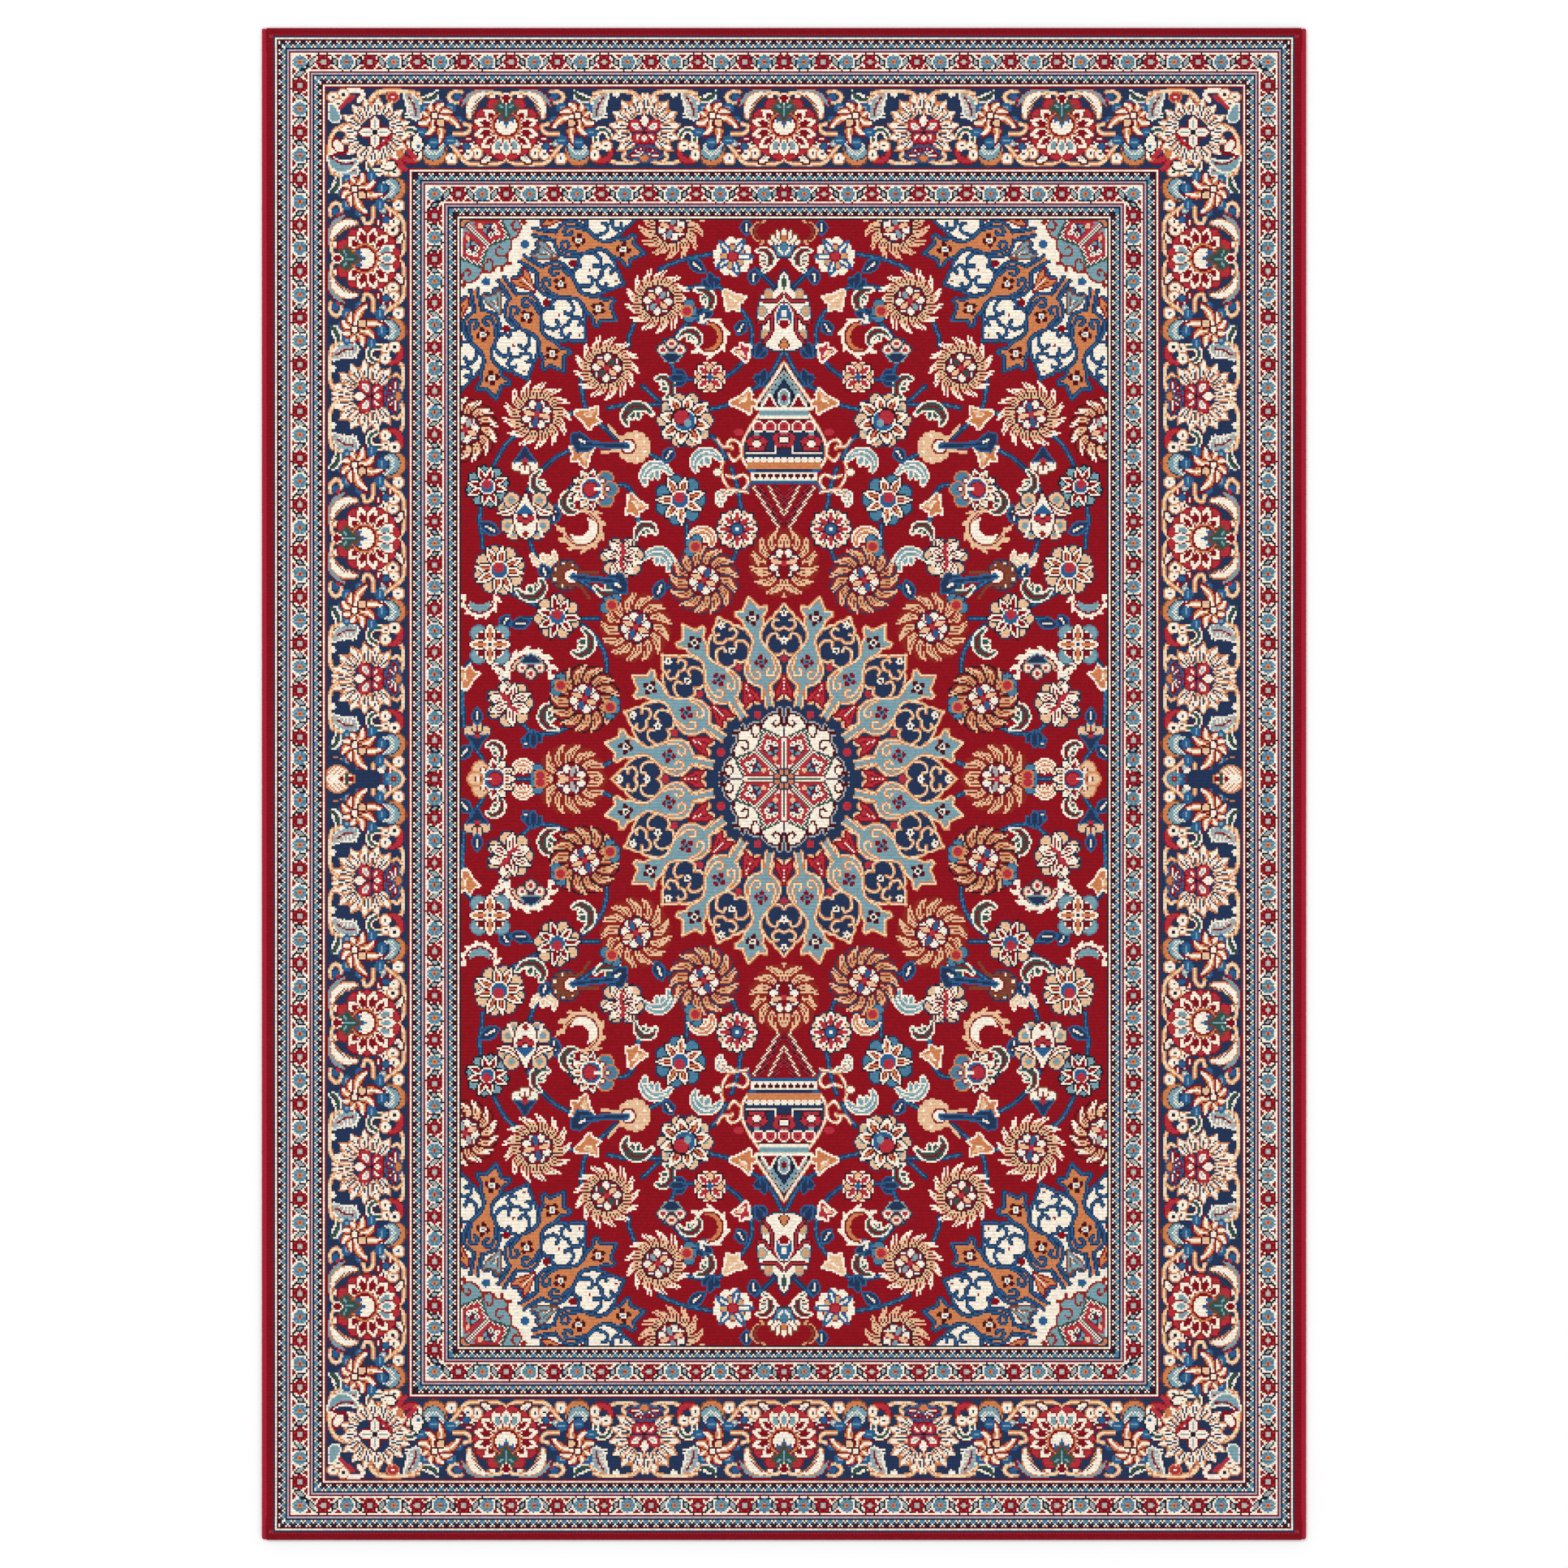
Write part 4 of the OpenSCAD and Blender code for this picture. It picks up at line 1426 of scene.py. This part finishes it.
def vary_colour(material, texture, dark, light):
    """Makes the colour run from dark to light with the texture."""
    nodes, links = material.node_tree.nodes, material.node_tree.links
    ramp = nodes.new("ShaderNodeValToRGB")
    for element, position, colour in zip(ramp.color_ramp.elements, (0.3, 0.7), (dark, light)):
        element.position = position
        element.color = linear(colour)
    links.new(texture.outputs["Fac"], ramp.inputs["Fac"])
    links.new(ramp.outputs["Color"], nodes["Principled BSDF"].inputs["Base Color"])


def pile_material(name, colour):
    """Sheared pile: matt, with the fine grain of cut fibres."""
    material = plain_material(name, colour, 0.88, 0.03)
    grain = place_texture(material, "ShaderNodeTexNoise", 1 / FIBRE)
    vary_roughness(material, grain, 0.78, 0.96)
    add_bump(material, grain, 0.5, FIBRE / 2)
    return material


def thread_material(name, colour, pitch, roughness=0.55):
    """Spun yarn: fine slanting strands, pitch apart."""
    material = plain_material(name, colour, roughness, 0.08)
    strands = place_texture(material, "ShaderNodeTexWave", 1 / pitch)
    strands.inputs["Distortion"].default_value = 1.5
    vary_roughness(material, strands, roughness - 0.1, roughness + 0.15)
    add_bump(material, strands, 0.4, pitch / 4)
    return material


# ---------------------------------------------------------------- the fabric
PILE_LOW, PILE_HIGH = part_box("pile")
PILE_HALF_W = PILE_HIGH.x
KNOT_X = WIDTH / KNOTS_ACROSS
KNOT_Y = LENGTH / KNOTS_ALONG
HALF_L = LENGTH / 2
FLAP_Y = -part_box("care_label")[0].y                    # where the turned-under flaps end
COAT_T = 0.0006                                        # the latex coat
FLAP_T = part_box("back_coating")[1].z - COAT_T          # the flap, which lifts the coat by as much
RAMP_W = 0.018                                         # the fabric climbs onto the flap over this width
PILE_TOP = PILE_HIGH.z - FLAP_T
FOLD_R = PILE_HIGH.z / 2
FOLD_Y = HALF_L - FOLD_R
HEM_LOW, HEM_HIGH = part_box("hem_thread_head")
THREAD_R = 0.6 * (HEM_HIGH.y - HEM_LOW.y)
SEAM_Y = (HEM_LOW.y + HEM_HIGH.y) / 2
SEAM_DIP = 0.0007                                      # how deep a hem seam pulls the pile down
FIBRE = 0.0011                                         # the grain of the cut pile
# three tones of each pile yarn: for the yarns' own uneven dye, and for the painted light of the lighter
# rows
PILE_TONES_AND_ROW_LIGHT = (0.93, 1.0, 1.07)
MIDDLE_SHIFT = 3 * KNOT_Y                              # the pattern's middle is above the rug's
PILE_ROUGH = 0.00007                                   # how unevenly the pile is sheared
COAT_ROUGH = 0.00008


def rise(y):
    """How far the fabric stands up over the flap that is turned under it, at each y."""
    t = np.clip((np.abs(y) - FLAP_Y + RAMP_W) / RAMP_W, 0, 1)
    return FLAP_T * t * t * (3 - 2 * t)


def face_height(y):
    """Height of the pile's face along the rug, with its rounded folds and the dip of each hem seam."""
    y = np.abs(y)
    over = np.clip((y - FOLD_Y) / FOLD_R, 0, 1)
    fold = FOLD_R + FOLD_R * np.sqrt(1 - over * over)
    dip = SEAM_DIP * np.exp(-((y - SEAM_Y) / (2 * SEAM_DIP)) ** 2)
    return np.where(y > FOLD_Y, fold, PILE_TOP + rise(y)) - dip


def row_edges():
    """Where the knot rows meet. The pattern's middle came off the loom a few rows above the rug's."""
    y = (np.arange(KNOTS_ALONG + 1) - KNOTS_ALONG / 2) * KNOT_Y
    return y + MIDDLE_SHIFT * (1 - np.abs(y) / HALF_L)


def mirrored(quarter):
    """The whole chart, from the quarter that both mirror lines repeat."""
    upper = np.concatenate([quarter[:, :0:-1], quarter], 1)
    return np.concatenate([upper[:0:-1], upper], 0)


def add_pile():
    """One face for each knot. The edge columns pass under the overcast sides."""
    columns = int(PILE_HALF_W / KNOT_X)
    chart = mirrored(weave_quarter().chart)[:, HALF_U - columns:HALF_U + columns + 1]
    xs = (np.arange(2 * columns + 2) - columns - 0.5) * KNOT_X
    edges = row_edges()
    # the last rows are cut into narrower ones, so that they bend round the folds
    bend = FOLD_Y + FOLD_R * np.sin(np.linspace(math.pi / 8, 3 * math.pi / 8, 4))
    ys = np.sort(np.concatenate([edges, bend, -bend]))
    row = np.clip(np.searchsorted(edges, (ys[1:] + ys[:-1]) / 2) - 1, 0, KNOTS_ALONG - 1)
    height = face_height(ys)[:, None] + RNG.normal(0, PILE_ROUGH, (len(ys), len(xs)))
    pile = mesh_object("pile", *grid_mesh(xs, ys, height))
    for name, colour in YARNS.items():
        for number, factor in enumerate(PILE_TONES_AND_ROW_LIGHT):
            material = pile_material(f"pile_{name}_{number + 1}", np.array(colour) * factor)
            pile.data.materials.append(material)
    # painted light: every other row is a tone lighter, standing in for the light that the rows' ribs catch;
    # the random part is the yarns' own uneven dye
    tone_and_row_light = RNG.integers(0, 2, (len(row), len(xs) - 1)) + row[:, None] % 2
    index = chart[row].astype(np.int32) * len(PILE_TONES_AND_ROW_LIGHT) + tone_and_row_light
    pile.data.polygons.foreach_set("material_index", index.ravel().astype(np.int32))
    return belong(pile, "pile")


def add_ground_weave():
    """The cotton ground under the pile. At each end it goes round the fold and comes back as a flap."""
    lip = 0.0004   # how far it lies inside the fold's face
    a = np.linspace(math.pi / 2, -math.pi / 2, 9)
    over = np.stack([FOLD_Y + (FOLD_R - lip) * np.cos(a), FOLD_R + (FOLD_R - lip) * np.sin(a)], -1)
    flap = np.linspace((FOLD_Y - 0.002, lip), (FLAP_Y, lip), 6)
    end = np.vstack([over, flap, [(FLAP_Y, FLAP_T)]])
    y = np.linspace(-FOLD_Y + FOLD_R, FOLD_Y - FOLD_R, 380)
    path = np.vstack([(end * (-1, 1))[::-1], np.stack([y, PILE_LOW.z + rise(y)], -1), end])
    xs = np.linspace(-PILE_HALF_W, PILE_HALF_W, 265)
    points = np.hstack([np.tile(xs, len(path))[:, None], np.repeat(path, len(xs), 0)])
    weave = mesh_object("ground_weave", points, grid_faces(len(path), len(xs)))
    material = plain_material("ground_cotton", (0.44, 0.05, 0.10), 0.9)
    ribs = place_texture(material, "ShaderNodeTexWave", 160, (1, 0, 0))
    add_bump(material, ribs, 0.6, 0.0005)
    vary_roughness(material, ribs, 0.8, 0.95)
    weave.data.materials.append(material)
    return belong(weave, "ground_weave")


def add_back_coating():
    """The latex coat on the back, pressed into the weave so that its ribs show."""
    xs = np.linspace(-PILE_HALF_W, PILE_HALF_W, 397)
    ys = np.linspace(-FLAP_Y, FLAP_Y, 568)
    height = rise(ys)[:, None] + COAT_ROUGH * (1 + RNG.normal(0, 1, (len(ys), len(xs))).clip(-1, 2))
    points, faces = grid_mesh(xs, ys, height)
    coat = mesh_object("back_coating", points, faces[:, ::-1])
    material = plain_material("latex_back", (0.66, 0.60, 0.50), 0.8)
    blotch = place_texture(material, "ShaderNodeTexNoise", 60)
    vary_colour(material, blotch, (0.58, 0.52, 0.43), (0.72, 0.67, 0.57))
    weft = place_texture(material, "ShaderNodeTexWave", 190, (0, 1, 0))
    add_bump(material, weft, 0.7, 0.0006)
    coat.data.materials.append(material)
    return belong(coat, "back_coating")


# ---------------------------------------------------------------- the sides
WRAP_PITCH = 0.0021
RINGS_PER_WRAP = 6


def add_overcasting(side, name):
    """Yarn wound round a long side, each turn a raised and slightly slanting ridge."""
    low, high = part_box(name)
    sides = 16
    a = np.arange(sides) * 2 * math.pi / sides
    unit = np.stack([np.cos(a), np.sin(a)], -1)
    unit = np.sign(unit) * np.abs(unit) ** 0.82
    reach = HALF_L - 0.001
    wraps = int(2 * reach / WRAP_PITCH)
    s = np.linspace(-reach, reach, wraps * RINGS_PER_WRAP + 1)
    wrap = (s + reach) / WRAP_PITCH
    scale = 0.90 + 0.10 * np.abs(np.sin(math.pi * wrap)) ** 0.7
    scale = scale + RNG.normal(0, 0.012, wraps + 2)[wrap.astype(int)]
    closing = np.clip((reach - np.abs(s)) / (high.z - low.z) * 2, 0, 1)
    scale = scale * (0.35 + 0.65 * np.sqrt(1 - (1 - closing) ** 2))
    points = np.empty((len(s), sides, 3))
    points[..., 0] = (low.x + high.x) / 2 + (high.x - low.x) / 2 * unit[:, 0] * scale[:, None]
    points[..., 1] = s[:, None] + WRAP_PITCH / 2 * side * unit[:, 0] * closing[:, None]
    points[..., 2] = (low.z + high.z) / 2 + (high.z - low.z) / 2 * unit[:, 1] * scale[:, None]
    edge = mesh_object(name, points.reshape(-1, 3), ring_faces(len(s), sides))
    edge.data.materials.append(thread_material(f"{name}_yarn", (0.65, 0.07, 0.18), 0.0012, 0.5))
    return belong(edge, name)


def add_filler_cord(name):
    """The cord inside an overcast side, laid from three strands."""
    low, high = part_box(name)
    x, z = (low.x + high.x) / 2, (low.z + high.z) / 2
    strand_r = 0.23 * (high.x - low.x)
    lay = 14 * strand_r
    s = np.arange(low.y, high.y, lay / 8)
    strands = []
    for i in range(3):
        a = 2 * math.pi * (s / lay + i / 3)
        spine = np.stack([x + strand_r * np.cos(a), s, z + strand_r * np.sin(a)], -1)
        strands.append(tube_mesh(spine, strand_r))
    cord = mesh_object(name, *join_meshes(strands))
    cord.data.materials.append(thread_material(f"{name}_yarn", (0.86, 0.83, 0.76), 0.001, 0.8))
    return belong(cord, name)


# ---------------------------------------------------------------- seams, tacks and label
STITCH_PITCH = 0.005
STITCH_LEN = 0.0034
TACK_LEN = 0.006
TACKS = 4
TACK_PITCH = 0.0012


def stitch(middle, length, radius):
    """One stitch along X: it comes up out of the fabric, lies on it and goes down again."""
    t = np.linspace(0, 1, 7)
    x = middle[0] + (t - 0.5) * length
    z = middle[2] + 2 * radius * (np.sin(math.pi * t) ** 0.6 - 0.5)
    return tube_mesh(np.stack([x, np.full(7, middle[1]), z], -1), radius)


def add_thread(name, stitches, colour):
    """Stitches as one piece of sewing thread."""
    thread = mesh_object(name, *join_meshes(stitches))
    thread.data.materials.append(thread_material(f"{name}_yarn", colour, 0.0005))
    return belong(thread, name)


def add_hem_thread(end, name):
    """The row of stitches that holds one flap down, seen on the pile."""
    count = int(2 * PILE_HALF_W / STITCH_PITCH)
    z = float(face_height(SEAM_Y)) + 0.0001
    places = [((i - (count - 1) / 2) * STITCH_PITCH, end * SEAM_Y, z) for i in range(count)]
    stitches = [stitch(place, STITCH_LEN, THREAD_R) for place in places]
    return add_thread(name, stitches, (0.66, 0.20, 0.29))


def add_corner_tacks():
    """A few tight stitches that close each corner of the hems."""
    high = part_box("corner_tacks")[1]
    tacks = []
    for side in (-1, 1):
        for end in (-1, 1):
            for i in range(TACKS):
                y = high.y - THREAD_R - i * TACK_PITCH
                place = (side * (PILE_HALF_W - TACK_LEN), end * y, float(face_height(y)) + 0.0002)
                tacks.append(stitch(place, TACK_LEN, THREAD_R))
    return add_thread("corner_tacks", tacks, (0.68, 0.22, 0.32))


def add_label():
    """A blank woven label, sewn to the flap along one edge."""
    low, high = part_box("care_label")
    xs, ys = np.linspace(low.x, high.x, 41), np.linspace(low.y, high.y, 13)
    ripple = 0.00005
    wave = ripple * np.sin((xs - low.x) * 300) * (ys - low.y)[:, None] / (high.y - low.y)
    top, faces = grid_mesh(xs, ys, high.z - ripple + wave)
    under = top - (0, 0, high.z - low.z - 2 * ripple)
    columns, count = len(xs), len(top)
    right = np.arange(1, len(ys)) * columns + columns - 1
    left = np.arange(len(ys) - 2, 0, -1) * columns
    ring = np.concatenate([np.arange(columns), right, count - 2 - np.arange(columns - 1), left])
    after = np.roll(ring, -1)
    wall = np.stack([ring + count, after + count, after, ring], -1)
    quads = np.vstack([faces, faces[:, ::-1] + count, wall])
    label = mesh_object("care_label", np.vstack([top, under]), quads)
    material = plain_material("label_cloth", (0.93, 0.92, 0.88), 0.7)
    twill = place_texture(material, "ShaderNodeTexWave", 700, (1, 1, 0))
    add_bump(material, twill, 0.4, 0.0001)
    vary_colour(material, twill, (0.88, 0.87, 0.83), (0.96, 0.95, 0.91))
    label.data.materials.append(material)
    return belong(label, "care_label")


def add_label_thread():
    """The stitches that hold the label along its upper edge."""
    low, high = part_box("label_thread")
    count = 10
    pitch = (high.x - low.x) / count
    radius = 0.75 * (high.z - low.z) / 2
    places = [(low.x + (i + 0.5) * pitch, (low.y + high.y) / 2, (low.z + high.z) / 2) for i in range(count)]
    stitches = [stitch(place, 0.6 * pitch, radius) for place in places]
    return add_thread("label_thread", stitches, (0.60, 0.08, 0.14))


# ---------------------------------------------------------------- the rug
def belong(piece, node):
    """Ties a piece to the rug's one body, and hides the CAD node it is drawn for."""
    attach(piece, "root")
    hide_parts(node)
    return piece


def add_rug():
    """Every piece of the rug."""
    pile, weave, coat = add_pile(), add_ground_weave(), add_back_coating()
    trims = [add_hem_thread(1, "hem_thread_head"), add_hem_thread(-1, "hem_thread_foot")]
    trims.append(add_corner_tacks())
    for side, name in ((-1, "left"), (1, "right")):
        trims.append(add_overcasting(side, f"overcasting_{name}"))
        trims.append(add_filler_cord(f"filler_cord_{name}"))
    label, label_thread = add_label(), add_label_thread()


add_camera()
add_studio()
add_rug()
